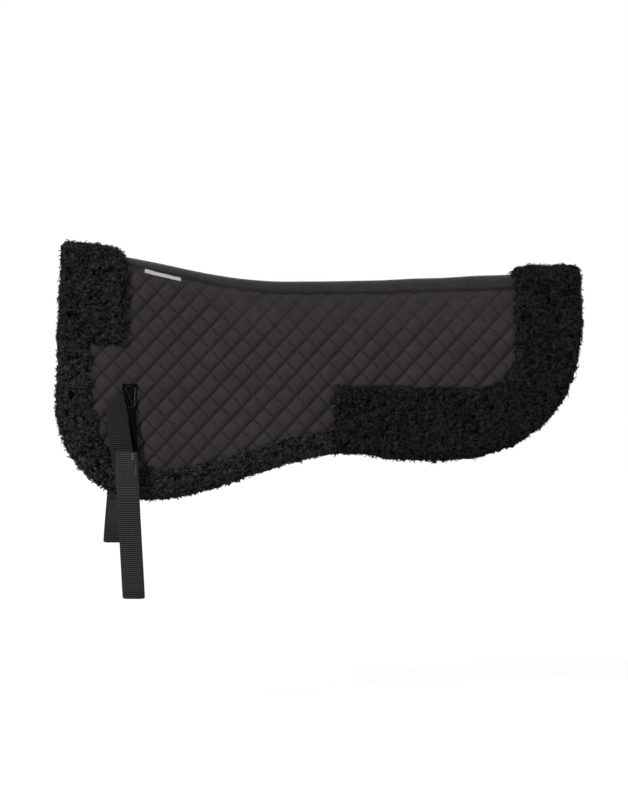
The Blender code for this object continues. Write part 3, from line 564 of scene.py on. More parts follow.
def add_fleece(name, layout, rows, seed, material, curl_seed):
    """The pile and the curls of one piece: some rows of a run of fleece, draped."""
    points = drape_both(*np.moveaxis(layout, -1, 0))
    normals = grid_normals(points)
    centre = (layout.shape[0] // 2, layout.shape[1] // 2)
    outwards = drape_both(*(layout[centre] + (0, 0, MM))) - points[centre]
    turned = np.dot(normals[centre], outwards) < 0
    if turned:
        normals = -normals
    grown, height = curly(points, normals, seed)
    grown, height, normals = grown[rows], height[rows], normals[rows]
    faces = facing(quads(*height.shape), turned)
    # Painted shade and light: the pile's colour follows how high each point stands, dark in the
    # gaps and lighter on the tops.
    pile = add_mesh(name, grown, faces, material, tuft=height)
    path, radii, base = curl_paths(grown, normals, height, curl_seed)
    # Painted light: each curl turns lighter towards its tip.
    tuft = np.repeat(base[:, None] * np.linspace(0.5, 1.3, CURL_STEPS), CURL_SIDES)
    curls = add_mesh(name + "_curls", *tubes(path, radii, CURL_SIDES), material, tuft=tuft)
    return pile, curls


# Guide lines of the fleece: rows of outer x, outer arc, inner x, inner arc

POMMEL_PILE_INSET = 5 * MM
POMMEL_CORNER_DROP = 5 * MM
CANTLE_PILE_INSET = 4.5 * MM
SEAT_BLOCK_DROP = 4 * MM
REAR_PILE_FULLNESS = 0.8
POMMEL_CROWN_INSET = 6 * MM
FRONT_TRIM = 1 * MM  # the curls that stand out of the edge make up for these
LOWER_TRIM = 1.8 * MM


def middle_line(rows):
    return (rows[:, :2] + rows[:, 2:]) / 2


def stations(rows):
    """The rows again, evenly spaced along their middle line."""
    return spaced(rows, middle_line(rows), PILE_STEP)


def under_trim(rows, depth):
    """A line in side view that runs this far under the fleece from its inner edge."""
    outer, inner = rows[:, :2], rows[:, 2:]
    width = np.linalg.norm(outer - inner, axis=1, keepdims=True)
    x, arc = (inner + (outer - inner) * depth / width).T
    return stacked(x, height_at(x, arc))


def guides(outer_x, outer_z, inner_x, inner_z):
    """Rows from guide lines that are given in side view."""
    return stacked(outer_x, arc_at(outer_x, outer_z), inner_x, arc_at(inner_x, inner_z))


def from_seam(outer_x, inner_x, outer_end, inner_end):
    """Rows that run from the seam down to two given arcs; outer_x has a value for each row."""
    share = np.linspace(0, 1, len(outer_x))
    outer_arc = mix(seam_arc(outer_x[0]), outer_end, share)
    outer_arc += (seam_arc(outer_x) - seam_arc(outer_x[0])) * (1 - share)
    inner_arc = mix(seam_arc(inner_x), inner_end, share)
    return stacked(outer_x, outer_arc, inner_x, inner_arc)


def across_spine(outer_x, inner_x):
    """Rows from the crown of the spine down to the seam."""
    share = np.linspace(0, 1, 20)
    return stacked(outer_x, share * seam_arc(outer_x), inner_x, share * seam_arc(inner_x))


def pommel_rows():
    inner_x = FRONT_X + POMMEL_LENGTH - POMMEL_PILE_INSET
    top_x = FRONT_X + FRONT_EDGE_RAKE
    end_x = front_edge_x(-POMMEL_DEPTH)
    low_arc = arc_at(inner_x, -POMMEL_DEPTH - POMMEL_CORNER_DROP)
    outer_x = mix(top_x, end_x, np.linspace(0, 1, 40))
    rows = from_seam(outer_x, inner_x, arc_at(end_x, -POMMEL_DEPTH), low_arc)
    corner_arc = low_arc - POMMEL_CORNER_RADIUS / FLAP_SINE
    past = np.clip((rows[:, 3] - corner_arc) * FLAP_SINE / POMMEL_CORNER_RADIUS, 0, 1)
    rows[:, 2] -= POMMEL_CORNER_RADIUS * (1 - np.sqrt(1 - past * past))
    spine = across_spine(top_x, inner_x)
    spine[:, 2] -= POMMEL_CROWN_INSET * (1 - np.linspace(0, 1, len(spine)) ** 2)
    return stations(spine), stations(rows)


def cantle_rows():
    spine_x = REAR_X - CANTLE_LENGTH
    inner_x = spine_x + CANTLE_PILE_INSET
    corner_x = inner_x - CANTLE_CORNER_RADIUS
    corner_z = -SEAT_BLOCK_TOP - SEAT_BLOCK_DROP + CANTLE_CORNER_RADIUS
    low_x, low_z = seat_corner(SEAT_CORNER_END)
    z = mix(CANTLE_RISE + SPINE_THICKNESS, low_z, np.linspace(0, 1, 40))
    outer_x = np.where(z > SEAT_TOP, mix(rear_edge_x(z), REAR_X, REAR_PILE_FULLNESS), low_x)
    upright = from_seam(outer_x, inner_x, arc_at(low_x, low_z), arc_at(inner_x, corner_z))
    turn = np.linspace(math.pi / 2, 0, 40)
    first = math.asin(((corner_x - SEAT_X) / SEAT_CORNER_LENGTH) ** (SEAT_CORNER_POWER / 2))
    corner = guides(
        *seat_corner(mix(first, SEAT_CORNER_END, turn / (math.pi / 2))),
        corner_x + CANTLE_CORNER_RADIUS * np.sin(turn),
        corner_z - CANTLE_CORNER_RADIUS * np.cos(turn),
    )
    share = np.linspace(0, 1, 60)
    x = mix(corner_x, FRONT_X + SEAT_BLOCK_FROM_FRONT, share)
    low = seat_edge(x) + LOWER_TRIM * ease(1.6 * share)
    level = guides(x, low, x, -SEAT_BLOCK_TOP - SEAT_BLOCK_DROP * (1 - share))
    rows = np.concatenate([upright, corner[1:], level[1:]])
    spine = across_spine(mix(REAR_X - REAR_EDGE_RAKE, REAR_X, REAR_PILE_FULLNESS), spine_x)
    spine[:, 2] += CANTLE_PILE_INSET * np.linspace(0, 1, len(spine)) ** 2
    return stations(spine), stations(rows)


def band_rows():
    """The front band and the lower band, parted where the source parts them."""
    z = np.linspace(-POMMEL_DEPTH + 2 * PILE_EDGE_RADIUS, CORNER_TOP, 40)
    share = np.clip((z - CORNER_TOP) / (-POMMEL_DEPTH - CORNER_TOP), 0, 1)
    width = mix(FRONT_BAND_WIDTH, FRONT_BAND_TOP_WIDTH, share)
    upright = guides(front_edge_x(z) + FRONT_TRIM * (1 - share), z, FRONT_X + width, z)

    def corner(start, end):
        turn = np.linspace(start, end, 30)
        outer = front_corner(turn, FRONT_TRIM, LOWER_TRIM)
        return guides(*outer, *front_corner(turn, FRONT_BAND_WIDTH, LOWER_BAND_WIDTH))

    end_x = FRONT_X + SEAT_BLOCK_FROM_FRONT
    x = np.linspace(CORNER_X, end_x, 80)
    rise = mix(LOWER_BAND_WIDTH, LOWER_BAND_END_WIDTH, (x - CORNER_X) / (end_x - CORNER_X))
    level = guides(x, lower_edge(x) + LOWER_TRIM, x, lower_edge(x) + rise)
    front = np.concatenate([upright, corner(0, BAND_SPLIT_TURN)[1:]])
    lower = np.concatenate([corner(BAND_SPLIT_TURN, math.pi / 2), level[1:]])
    return stations(front), stations(lower)


def flap_outline():
    """The flap's edge in side view, from the front of the topline round to its rear."""
    z = np.linspace(POMMEL_RISE, CORNER_TOP, 30)
    x = np.linspace(CORNER_X, SEAT_X, 60)
    seat_x, seat_z = seat_corner(np.linspace(0, SEAT_CORNER_END, 60))
    rear_z = np.linspace(seat_z[-1], CANTLE_RISE, 10)[1:]
    rear_x = np.where(rear_z > SEAT_TOP, rear_edge_x(rear_z), seat_x[-1])
    corner_x, corner_z = front_corner(np.linspace(0, math.pi / 2, 40), 0, 0)
    lines = (
        (front_edge_x(z), z),
        (corner_x[1:], corner_z[1:]),
        (x[1:], lower_edge(x)[1:]),
        (seat_x[1:], seat_z[1:]),
        (rear_x, rear_z),
    )
    return np.concatenate([stacked(*line) for line in lines])


# Materials

WEAVE_PERIOD = 0.314  # metres between the bands of a wave texture of scale 1
RIB_PITCH = 2.28 * MM


def link(output, socket):
    output.id_data.links.new(output, socket)


def new_material(name, colour, roughness, sheen, gloss):
    made = bpy.data.materials.new(name)
    made.use_nodes = True
    shader = made.node_tree.nodes["Principled BSDF"]
    shader.inputs["Base Color"].default_value = (*colour, 1)
    shader.inputs["Roughness"].default_value = roughness
    shader.inputs["Specular IOR Level"].default_value = gloss
    shader.inputs["Sheen Weight"].default_value = sheen
    shader.inputs["Sheen Roughness"].default_value = 0.5
    return made, shader


def layer_node(shader, name):
    """The outputs of a layer that add_mesh made."""
    made = shader.id_data.nodes.new("ShaderNodeAttribute")
    made.attribute_name = name
    return made.outputs


def body_place(shader):
    return shader.id_data.nodes.new("ShaderNodeTexCoord").outputs["Object"]


def noise_node(place, size, detail):
    made = place.id_data.nodes.new("ShaderNodeTexNoise")
    made.inputs["Scale"].default_value = 1 / size
    made.inputs["Detail"].default_value = detail
    link(place, made.inputs["Vector"])
    return made.outputs["Fac"]


def bands_node(place, period, turn):
    """Even bands across the cloth, turned by this angle."""
    rotate = place.id_data.nodes.new("ShaderNodeVectorRotate")
    rotate.rotation_type = "Z_AXIS"
    rotate.inputs["Angle"].default_value = turn
    link(place, rotate.inputs["Vector"])
    made = place.id_data.nodes.new("ShaderNodeTexWave")
    made.inputs["Scale"].default_value = WEAVE_PERIOD / period
    link(rotate.outputs["Vector"], made.inputs["Vector"])
    return made.outputs["Fac"]


def combined(operation, first, second):
    """Arithmetic on a socket and either another socket or a number."""
    made = first.id_data.nodes.new("ShaderNodeMath")
    made.operation = operation
    link(first, made.inputs[0])
    if isinstance(second, (int, float)):
        made.inputs[1].default_value = second
    else:
        link(second, made.inputs[1])
    return made.outputs["Value"]


def plus(first, second):
    return combined("ADD", first, second)


def times(first, second):
    return combined("MULTIPLY", first, second)


def bump(shader, height, distance):
    made = shader.id_data.nodes.new("ShaderNodeBump")
    made.inputs["Strength"].default_value = 1.0
    made.inputs["Distance"].default_value = distance
    link(height, made.inputs["Height"])
    link(made.outputs["Normal"], shader.inputs["Normal"])


def blended_colour(shader, share, low, high, start=0.3, end=0.7):
    """Base colour that runs from low to high as the share rises."""
    ramp = shader.id_data.nodes.new("ShaderNodeValToRGB")
    for element, place, colour in zip(ramp.color_ramp.elements, (start, end), (low, high)):
        element.position = place
        element.color = (*colour, 1)
    link(share, ramp.inputs["Fac"])
    link(ramp.outputs["Color"], shader.inputs["Base Color"])


def turned_to(shader, share, colour):
    """Turns the base colour to this one as the share rises."""
    before = shader.inputs["Base Color"].links[0].from_socket
    mixed = shader.id_data.nodes.new("ShaderNodeMix")
    mixed.data_type = "RGBA"
    inputs = [socket for socket in mixed.inputs if socket.type == "RGBA"]
    inputs[1].default_value = (*colour, 1)
    link(share, mixed.inputs["Factor"])
    link(before, inputs[0])
    outputs = [socket for socket in mixed.outputs if socket.type == "RGBA"]
    link(outputs[0], shader.inputs["Base Color"])


def quilted_cotton():
    made, shader = new_material("quilted_cotton", (0.028, 0.022, 0.023), 0.85, 0.05, 0.12)
    place = layer_node(shader, "cloth")["Vector"]
    threads = noise_node(place, 1.2 * MM, 2)
    share = times(plus(times(noise_node(place, 30 * MM, 3), 0.75), threads), 0.57)
    blended_colour(shader, share, (0.018, 0.0165, 0.017), (0.038, 0.0335, 0.0335))
    blush = combined("SUBTRACT", noise_node(place, 9 * MM, 2), 0.5)
    blush = times(combined("MAXIMUM", blush, 0.0), 2.6)
    turned_to(shader, blush, (0.052, 0.028, 0.031))
    # Painted shade: the cloth turns nearly black along the sewn seams, where shade falls between
    # the puffs.
    turned_to(shader, layer_node(shader, "crease")["Fac"], (0.0025, 0.0022, 0.0024))
    twill = bands_node(place, 1.0 * MM, math.radians(62))
    bump(shader, plus(times(twill, 0.6), threads), 0.12 * MM)
    return made


def plain_weave(surface, flecks, low, high, pitch, relief):
    """Cloth with threads both ways. surface is what new_material takes."""
    made, shader = new_material(*surface)
    place = layer_node(shader, "cloth")["Vector"]
    blended_colour(shader, noise_node(place, *flecks), low, high)
    across = bands_node(place, pitch, 0)
    bump(shader, plus(across, bands_node(place, pitch, math.pi / 2)), relief)
    return made


def fleece(name, tip, low=(0.0006, 0.0006, 0.0007)):
    """Black pile with painted shade and light: nearly black in the gaps, where shade falls, and
    greyer on top of each knot and curl, where light catches.
    """
    made, shader = new_material(name, (0.012, 0.012, 0.013), 0.95, 0.01, 0.03)
    place = body_place(shader)
    fibres = noise_node(place, 1.1 * MM, 3)
    patches = times(noise_node(place, 14 * MM, 1), 0.35)
    mottled = plus(plus(fibres, patches), noise_node(place, 3.6 * MM, 1))
    mottled = combined("SUBTRACT", times(mottled, 1.4), 0.745)
    # Painted shade: the share, and so the colour, falls to black where the pile is low.
    share = times(layer_node(shader, "tuft")["Fac"], mottled)
    blended_colour(shader, share, low, tip, 0.4, 0.94)
    bump(shader, fibres, 0.5 * MM)
    return made


def webbing(name, low, high, sheen=0.04, gloss=0.15):
    made, shader = new_material(name, high, 0.6, sheen, gloss)
    place = layer_node(shader, "cloth")["Vector"]
    threads = noise_node(place, 0.9 * MM, 2)
    yarns = bands_node(place, 1.7 * MM, 0)
    # The colour runs from near black between the ribs to grey on them: the weave's own pattern,
    # with painted shade in the grooves.
    weave = times(bands_node(place, RIB_PITCH, math.pi / 2), plus(yarns, 0.6))
    blended_colour(shader, plus(times(weave, 0.6), times(threads, 0.3)), low, high, 0.42, 0.98)
    bump(shader, plus(yarns, times(threads, 0.6)), 0.2 * MM)
    return made


def flecked(name, colour, size, roughness, gloss, low, high, relief):
    """Thread, or the even nap of a tape, with flecks between two shares of one colour."""
    made, shader = new_material(name, colour, roughness, 0.04, gloss)
    flecks = noise_node(body_place(shader), size, 1)
    low, high = (tuple(share * value for value in colour) for share in (low, high))
    blended_colour(shader, flecks, low, high)
    bump(shader, flecks, relief)
    return made


THREAD = (0.5 * MM, 0.55, 0.2, 0.75, 1.25, 0.1 * MM)  # what flecked takes from size on
TAPE = (0.9, 0.1, 0.6, 1.5, 0.4 * MM)  # the same from roughness on

QUILTED = quilted_cotton()
SMOOTH = plain_weave(
    ("smooth_cotton", (0.031, 0.031, 0.032), 0.7, 0.06, 0.15),
    (12 * MM, 3),
    (0.0115, 0.011, 0.0115),
    (0.0205, 0.0195, 0.0203),
    0.7 * MM,
    0.07 * MM,
)
FLEECE = fleece("black_fleece", (0.050, 0.0495, 0.049))
LINING_FLEECE = fleece("lining_black_fleece", (0.033, 0.033, 0.033))
# Painted shade: the pommel and rear copies of the black fleece are darker than the edge fleece,
# matched to how light fell on those pieces, and the rear one is flatter too.
SHADED_POMMEL_FLEECE = fleece("shaded_pommel_black_fleece", (0.040, 0.0405, 0.0385))
SHADED_REAR_FLEECE = fleece("shaded_rear_black_fleece", (0.0255, 0.0272, 0.028), (0.002, 0.0022, 0.0025))
WEBBING = webbing("black_webbing", (0.0005,) * 3, (0.062, 0.062, 0.055))
# Painted shade: the upper leg and the end loop use darker copies of the same webbing, matched to
# how light fell on them.
SHADED_UPPER_WEBBING = webbing("shaded_upper_webbing", (0.0003,) * 3, (0.039, 0.039, 0.034), 0.02, 0.08)
SHADED_BACK_WEBBING = webbing("shaded_back_webbing", (0.001,) * 3, (0.05, 0.05, 0.048))
# Painted shadow: the sewn tab and the back leg get a near-black copy of the webbing, with no
# sheen, for the shadow the upper leg casts on them.
SHADOW_WEBBING = webbing("painted_shadow_webbing", (0.0004,) * 3, (0.0045,) * 3, 0.0, 0.02)
DARK_THREAD = flecked("dark_thread", (0.012, 0.011, 0.012), *THREAD)
GREY_THREAD = flecked("grey_thread", (0.035, 0.035, 0.033), *THREAD)
PALE_THREAD = flecked("pale_thread", (0.2, 0.2, 0.19), *THREAD)
LABEL = plain_weave(
    ("silver_label", (0.42, 0.42, 0.43), 0.45, 0.0, 0.3),
    (0.6 * MM, 2),
    (0.36, 0.37, 0.38),
    (0.52, 0.52, 0.53),
    0.5 * MM,
    0.06 * MM,
)
LOOP_TAPE = flecked("loop_tape", (0.02, 0.02, 0.021), 0.8 * MM, *TAPE)
SMOOTH_TAPE = flecked("smooth_tape", (0.028, 0.0295, 0.032), 0.5 * MM, *TAPE)
HOOK_TAPE = flecked("hook_tape", (0.015, 0.015, 0.016), 1.1 * MM, *TAPE)


# The flap's fold line, from its joint

FOLD_START = 22 * MM  # below the hinge, where the seam is furthest from it
FOLD_END = 62 * MM


def blend_flap(obj, name):
    """Finds the fold line of a layer of the flap below the seam from the flap's joint, and bakes
    the layer's transform; the layer is not bent.
    """
    joint = next(j for j in frame["joints"] if j["name"] == name + "_flap_fold")
    hinge = np.array(joint["pos_m"])
    axis = np.array(joint["axis"]) / np.linalg.norm(joint["axis"])
    slope = np.array([0, SIDES[name] * FLAP_COSINE, -FLAP_SINE])
    down = slope - axis * np.dot(slope, axis)
    down /= np.linalg.norm(down)
    start, end = (tuple(hinge + down * depth) for depth in (FOLD_START, FOLD_END))
    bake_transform(obj)
    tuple(start)
    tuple(end)


def add_trim(layout, pieces, material, seed):
    """Fleece trim. pieces gives each one's node, its rows and the body or the fold it is on."""
    for i, (node, rows, body, fold) in enumerate(pieces):
        made = add_fleece(node + "_pile", layout, rows, seed, material, seed + i)
        for obj in made:
            if fold:
                blend_flap(obj, fold)
            else:
                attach(obj, body)
        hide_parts(node)


def add_block(bridge, block, rows, end_radius, bridge_radii, material, seed):
    """The fleece of one end of the pad: a bridge over the spine and a block on each flap.

    bridge_radii says how round the bridge's outer and inner edges are.
    """
    both = np.concatenate([rows[0], rows[1][1:]])
    half = fleece_run(both, BLOCK_PILE_TOP, end_radius, bridge_radii)
    layout = np.concatenate([half[:0:-1] * (1, -1, 1), half])
    count = len(rows[1])
    pieces = (
        ("left_" + block, slice(0, count), None, "left"),
        (bridge, slice(count - 1, 1 - count), "spine", None),
        ("right_" + block, slice(-count, None), None, "right"),
    )
    add_trim(layout, pieces, material, seed)


def add_bands(name, side, seed):
    front, lower = band_rows()
    run = fleece_run(np.concatenate([front, lower[1:]]), EDGE_PILE_TOP, SEAM_END_RADIUS)
    pieces = (
        (name + "_front_edge_fleece", slice(0, len(front)), name + "_flap", None),
        (name + "_lower_edge_fleece", slice(len(front) - 1, None), name + "_flap", None),
    )
    add_trim(run * (1, side, 1), pieces, FLEECE, seed)


POMMEL_RADII = (BLOCK_END_RADIUS, (5 * MM, 45 * MM))
CANTLE_RADII = (SEAM_END_RADIUS, (8 * MM, 18 * MM))
POMMEL_NODES = ("pommel_fleece_bridge", "pommel_fleece")
CANTLE_NODES = ("cantle_fleece_bridge", "rear_fleece")
add_block(*POMMEL_NODES, pommel_rows(), *POMMEL_RADII, SHADED_POMMEL_FLEECE, seed=11)
add_block(*CANTLE_NODES, cantle_rows(), *CANTLE_RADII, SHADED_REAR_FLEECE, seed=23)
add_bands("left", -1, seed=41)
add_bands("right", 1, seed=43)


# Quilting

QUILT_STEP = 1.1 * MM
QUILT_UNDER_TRIM = 8 * MM
CHANNEL_N = 7.6 * MM
CROWN = 3.1 * MM
FALLING_SHARE = 0.65  # how deep the falling seams are, beside the rising ones
RISING_POWER = 3.0  # how soon the cloth levels off beside a seam
FALLING_POWER = 4.0
RISING_CREASE = 1.25 * MM
FALLING_CREASE = 0.9 * MM
NEAR_LINE = 2.2 * MM
FLATTENING = 0.75  # how much of the puffs is lost where the quilting is flattest
FLAT_FRONT_DEPTH = 28 * MM
FLAT_REAR_DEPTH = 70 * MM
FLAT_START_X = -150 * MM
FLAT_EASE_LENGTH = 60 * MM
SEAM_TUCK = 2.2 * MM
SEAM_TUCK_WIDTH = 3.5 * MM
LINE_SPACING = 1 / math.hypot(1 / DIAMOND_WIDTH, 1 / DIAMOND_HEIGHT)
STITCHES_BELOW_SEAM = 1.5 * MM
FEWEST_PLACES = 6  # a sewn line with fewer inside the field gets no stitches
STITCH_PITCH = 3.6 * MM
STITCH_LENGTH = 2.7 * MM
STITCH_RADIUS = 0.28 * MM


def quilt_field():
    """What the trims leave free of the flap, and a little under them, in side view."""
    runs = (pommel_rows()[1], *band_rows(), cantle_rows()[1][::-1])
    loop = np.concatenate([under_trim(rows, QUILT_UNDER_TRIM) for rows in runs])
    loop[(0, -1), 1] = POMMEL_RISE + SPINE_THICKNESS
    return loop


def quilt_lines(x, z):
    """Distances to the nearest rising and falling sewn line, and the diamond's number."""
    across = (x - QUILT_CROSSING_X) / DIAMOND_WIDTH
    down = (z - QUILT_CROSSING_Z) / DIAMOND_HEIGHT
    rising = across - down
    falling = across + down
    to_rising = np.abs(rising - np.round(rising)) * LINE_SPACING
    to_falling = np.abs(falling - np.round(falling)) * LINE_SPACING
    return to_rising, to_falling, stacked(np.floor(rising), np.floor(falling), 0)


def pillow(distance, power):
    share = np.clip(distance / (LINE_SPACING / 2), 0, 1)
    return 1 - (1 - share) ** power


def crease(x, z):
    """How much painted shade darkens the cloth: 1 in the rising seams, less in the falling ones,
    and 0 on the puffs.
    """
    to_rising, to_falling = quilt_lines(x, z)[:2]
    rising = np.exp(-((to_rising / RISING_CREASE) ** 2))
    falling = np.exp(-((to_falling / FALLING_CREASE) ** 2))
    return np.maximum(0.8 * rising, 0.62 * falling)


def plumpness(x, arc):
    """How full the quilting is: stretched flatter under the middle of the spine's seam."""
    along = ease((x - FLAT_START_X) / FLAT_EASE_LENGTH)
    depth = mix(FLAT_FRONT_DEPTH, FLAT_REAR_DEPTH, along)
    return 1 - FLATTENING * (1 - ease((arc - seam_arc(x)) / depth))


def quilt_n(x, arc):
    """Height of the quilted cloth off the lining: puffs between two families of sewn lines."""
    z = height_at(x, arc)
    to_rising, to_falling, cells = quilt_lines(x, z)
    place = stacked(x, z, 0)
    fullness = 0.86 + 0.28 * scattered(cells, 5)
    rise = pillow(to_rising, RISING_POWER)
    rise *= mix(1 - FALLING_SHARE, 1, pillow(to_falling, FALLING_POWER))
    puff = CROWN * (1 - (1 - rise) * plumpness(x, arc)) * fullness
    near_line = np.exp(-np.minimum(to_rising, to_falling) / NEAR_LINE)
    pucker = 0.28 * MM * near_line * noise(place, 3.2 * MM, 61)
    creases = 0.22 * MM * noise(place, 7 * MM, 67) + 0.5 * MM * noise(place, 45 * MM, 71)
    return CHANNEL_N + puff + pucker + creases


def cell_middles(grid):
    return (grid[:-1, :-1] + grid[1:, 1:]) / 2


def add_quilting(name, side):
    x = np.arange(FRONT_X + 20 * MM, REAR_X - 45 * MM, QUILT_STEP)
    tuck = np.linspace(0, SEAM_TUCK_WIDTH, 6)
    rest = np.arange(SEAM_TUCK_WIDTH + QUILT_STEP, FRONT_DEPTH + POMMEL_RISE, QUILT_STEP)
    x, below = np.meshgrid(x, np.concatenate([tuck, rest]))
    arc = seam_arc(x) + below
    z = height_at(x, arc)
    n = quilt_n(x, arc)
    n -= SEAM_TUCK * (1 - swelling(below, SEAM_TUCK_WIDTH))
    kept = inside(cell_middles(x), cell_middles(z), quilt_field())
    # Painted shade along the seams, weaker where the quilting is flattened.
    seams = crease(x, z) * plumpness(x, arc)
    piece = name + "_quilting"
    made = add_cloth(piece, x, arc, n, GAP, side, QUILTED, kept, side > 0, crease=seams)
    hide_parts(name + "_quilted_shell", name + "_wadding")
    blend_flap(made, name)


def add_stitches(name, lines, to_world, material):
    """Short threads along lines on a surface; each end dips into the cloth.

    to_world gives the place of points on the surface that stand this far above it.
    """
    share = np.array([0, 0.25, 0.75, 1])
    dip = np.array([-0.35, 0.12, 0.12, -0.35]) * MM
    paths = []
    for line in lines:
        travelled = distances(line)
        starts = np.arange(STITCH_PITCH / 2, travelled[-1] - STITCH_LENGTH, STITCH_PITCH)
        places = starts[:, None] + share * STITCH_LENGTH
        first, second = (np.interp(places, travelled, column) for column in line.T)
        paths.append(to_world(first, second, dip))
    path = np.concatenate(paths)
    return add_mesh(name, *tubes(path, np.full(path.shape[:2], STITCH_RADIUS), 4), material)


def add_quilt_stitches(name, side):
    field = quilt_field()
    lines = []
    reach = math.ceil(PAD_LENGTH / DIAMOND_WIDTH + FRONT_DEPTH / DIAMOND_HEIGHT) + 2
    z = np.linspace(-FRONT_DEPTH, POMMEL_RISE, 200)
    for number in range(-reach, reach + 1):
        for slope in (1, -1):
            share = number + slope * (z - QUILT_CROSSING_Z) / DIAMOND_HEIGHT
            x = QUILT_CROSSING_X + share * DIAMOND_WIDTH
            arc = arc_at(x, z)
            kept = inside(x, z, field) & (arc > seam_arc(x) + STITCHES_BELOW_SEAM)
            edges = np.flatnonzero(np.diff(np.concatenate([[0], kept.astype(int), [0]])))
            for start, end in zip(edges[::2], edges[1::2]):
                if end - start >= FEWEST_PLACES:
                    lines.append(stacked(x[start:end], arc[start:end]))

    def to_world(x, arc, dip):
        return drape(x, arc, quilt_n(x, arc) + dip, side)

    made = add_stitches(name + "_quilt_stitches", lines, to_world, DARK_THREAD)
    blend_flap(made, name)


for name, side in SIDES.items():
    add_quilting(name, side)
    add_quilt_stitches(name, side)


# Spine, channel, lining and label

CLOTH_STEP = 2.0 * MM
SPINE_FRONT_CROWN = 1.5 * MM
SPINE_REAR_CROWN = 2.9 * MM
SPINE_TUCK = 2.4 * MM
SPINE_TUCK_WIDTH = 3.0 * MM
SPINE_LINING_THICKNESS = 3 * MM
FACING_THICKNESS = 1.7 * MM
CHANNEL_TOP = -0.05 * MM
SEAM_STITCHES_ABOVE = 2.6 * MM
SEAM_STITCHES_RISE = 0.1 * MM
PIPING_BELOW_SEAM = 0.7 * MM
PIPING_N = 10.6 * MM
PIPING_RADIUS = 0.75 * MM
LINING_STEP = 1.7 * MM
LINING_RIM_WIDTH = 22 * MM
LINING_FRONT_INSET = 1 * MM
LINING_LOWER_INSET = 3.8 * MM  # the flap leans outwards, which lowers its inner edge
LINING_REAR_INSET = 0.8 * MM
LINING_EASE_LENGTH = 110 * MM
LABEL_RISE = 0.6 * MM
LABEL_THICKNESS = 0.7 * MM


def add_spine():
    x = np.arange(FRONT_X + FRONT_EDGE_RAKE, REAR_X - REAR_EDGE_RAKE, CLOTH_STEP)
    half = np.linspace(0, 1, 18) ** 0.7
    x, share = np.meshgrid(x, np.concatenate([-half[::-1], half[1:]]), indexing="ij")
    arc = share * seam_arc(x)
    place = stacked(x, arc, 0)
    to_seam = seam_arc(x) * (1 - np.abs(share))
    crown = mix(SPINE_FRONT_CROWN, SPINE_REAR_CROWN, ease((x - FRONT_X) / (PAD_LENGTH / 2)))
    n = SPINE_THICKNESS + crown * (1 - share ** 2)
    n -= SPINE_TUCK * (1 - swelling(to_seam, SPINE_TUCK_WIDTH))
    n += 0.3 * MM * noise(place * (0.35, 1, 1), 5 * MM, 81) * np.exp(-to_seam / (5 * MM))
    n += 0.35 * MM * noise(place * (0.5, 1, 1), 18 * MM, 83)
    inner_n = SPINE_LINING_THICKNESS + GAP
    cover = add_cloth("spine_band", x, arc, n, inner_n, np.sign(arc), SMOOTH)
    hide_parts("spine_cover", "spine_wadding")
    n = SPINE_LINING_THICKNESS + 0.1 * MM * noise(place, 8 * MM, 85)
    low = 0.25 * MM * (noise(place, 12 * MM, 87) - 1) * (1 - share ** 2)
    lining = add_cloth("spine_underside", x, arc, n, low, np.sign(arc), SMOOTH)
    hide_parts("spine_lining")
    for obj in (cover, lining):
        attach(obj, "spine")


def add_seam(name, side):
    """The row of stitches just above the band's seam, and the thin fold of cloth under it."""
    x = np.arange(FRONT_X + POMMEL_LENGTH - 4 * MM, REAR_X - CANTLE_LENGTH + 4 * MM, 2 * MM)
    line = stacked(x, seam_arc(x) - SEAM_STITCHES_ABOVE)

    def to_world(x, arc, dip):
        return drape(x, arc, SPINE_THICKNESS + SEAM_STITCHES_RISE + dip, side)

    row = add_stitches(name + "_seam_stitches", [line], to_world, DARK_THREAD)
    x = np.arange(FRONT_X + POMMEL_LENGTH - 6 * MM, REAR_X - CANTLE_LENGTH + 8 * MM, 1.5 * MM)
    arc = seam_arc(x) + PIPING_BELOW_SEAM
    n = PIPING_N + 0.15 * MM * noise(stacked(x, arc, 0), 9 * MM, 95)
    path = drape(x, arc, n, side)[None]
    points, faces = tubes(path, np.full(path.shape[:2], PIPING_RADIUS), 8)
    piping = add_mesh(name + "_piping", points, faces, SMOOTH, points)
    for obj in (row, piping):
        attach(obj, "spine")


def add_channel(name, side):
    """The smooth cloth between the spine and the fleece, on the horse's side."""
    x = np.arange(FRONT_X + FRONT_EDGE_RAKE + MM, REAR_X - REAR_EDGE_RAKE - MM, CLOTH_STEP)
    x, down = np.meshgrid(x, np.linspace(0, 1, 24), indexing="ij")
    arc = mix(seam_arc(x), LINING_START + MM, down)
    n = -FACING_THICKNESS + 0.5 * MM * noise(stacked(x, arc, 0), 16 * MM, 91) * (1 - down)
    made = add_cloth(name + "_channel_cloth", x, arc, CHANNEL_TOP, n, side, SMOOTH)
    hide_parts(name + "_channel_facing")
    blend_flap(made, name)


def left_of(line):
    """Unit vectors to the left of a flat line, at each of its points."""
    along = unit(np.gradient(line, axis=0))
    return stacked(-along[:, 1], along[:, 0])


def rim_rows():
    """Guide lines of the lining's rim: the flap's edge and a line inside it."""
    outline = resampled(flap_outline(), PILE_STEP)
    inward = left_of(outline)
    inset = mix(LINING_FRONT_INSET, LINING_LOWER_INSET, np.maximum(inward[:, 1:], 0))
    inset = mix(inset, LINING_REAR_INSET, ease((outline[:, :1] - SEAT_X) / LINING_EASE_LENGTH))
    outline = outline + inward * inset
    inner = outline + inward * LINING_RIM_WIDTH
    rows = guides(*outline.T, *inner.T)
    return rows[rows[:, 1] > LINING_START]


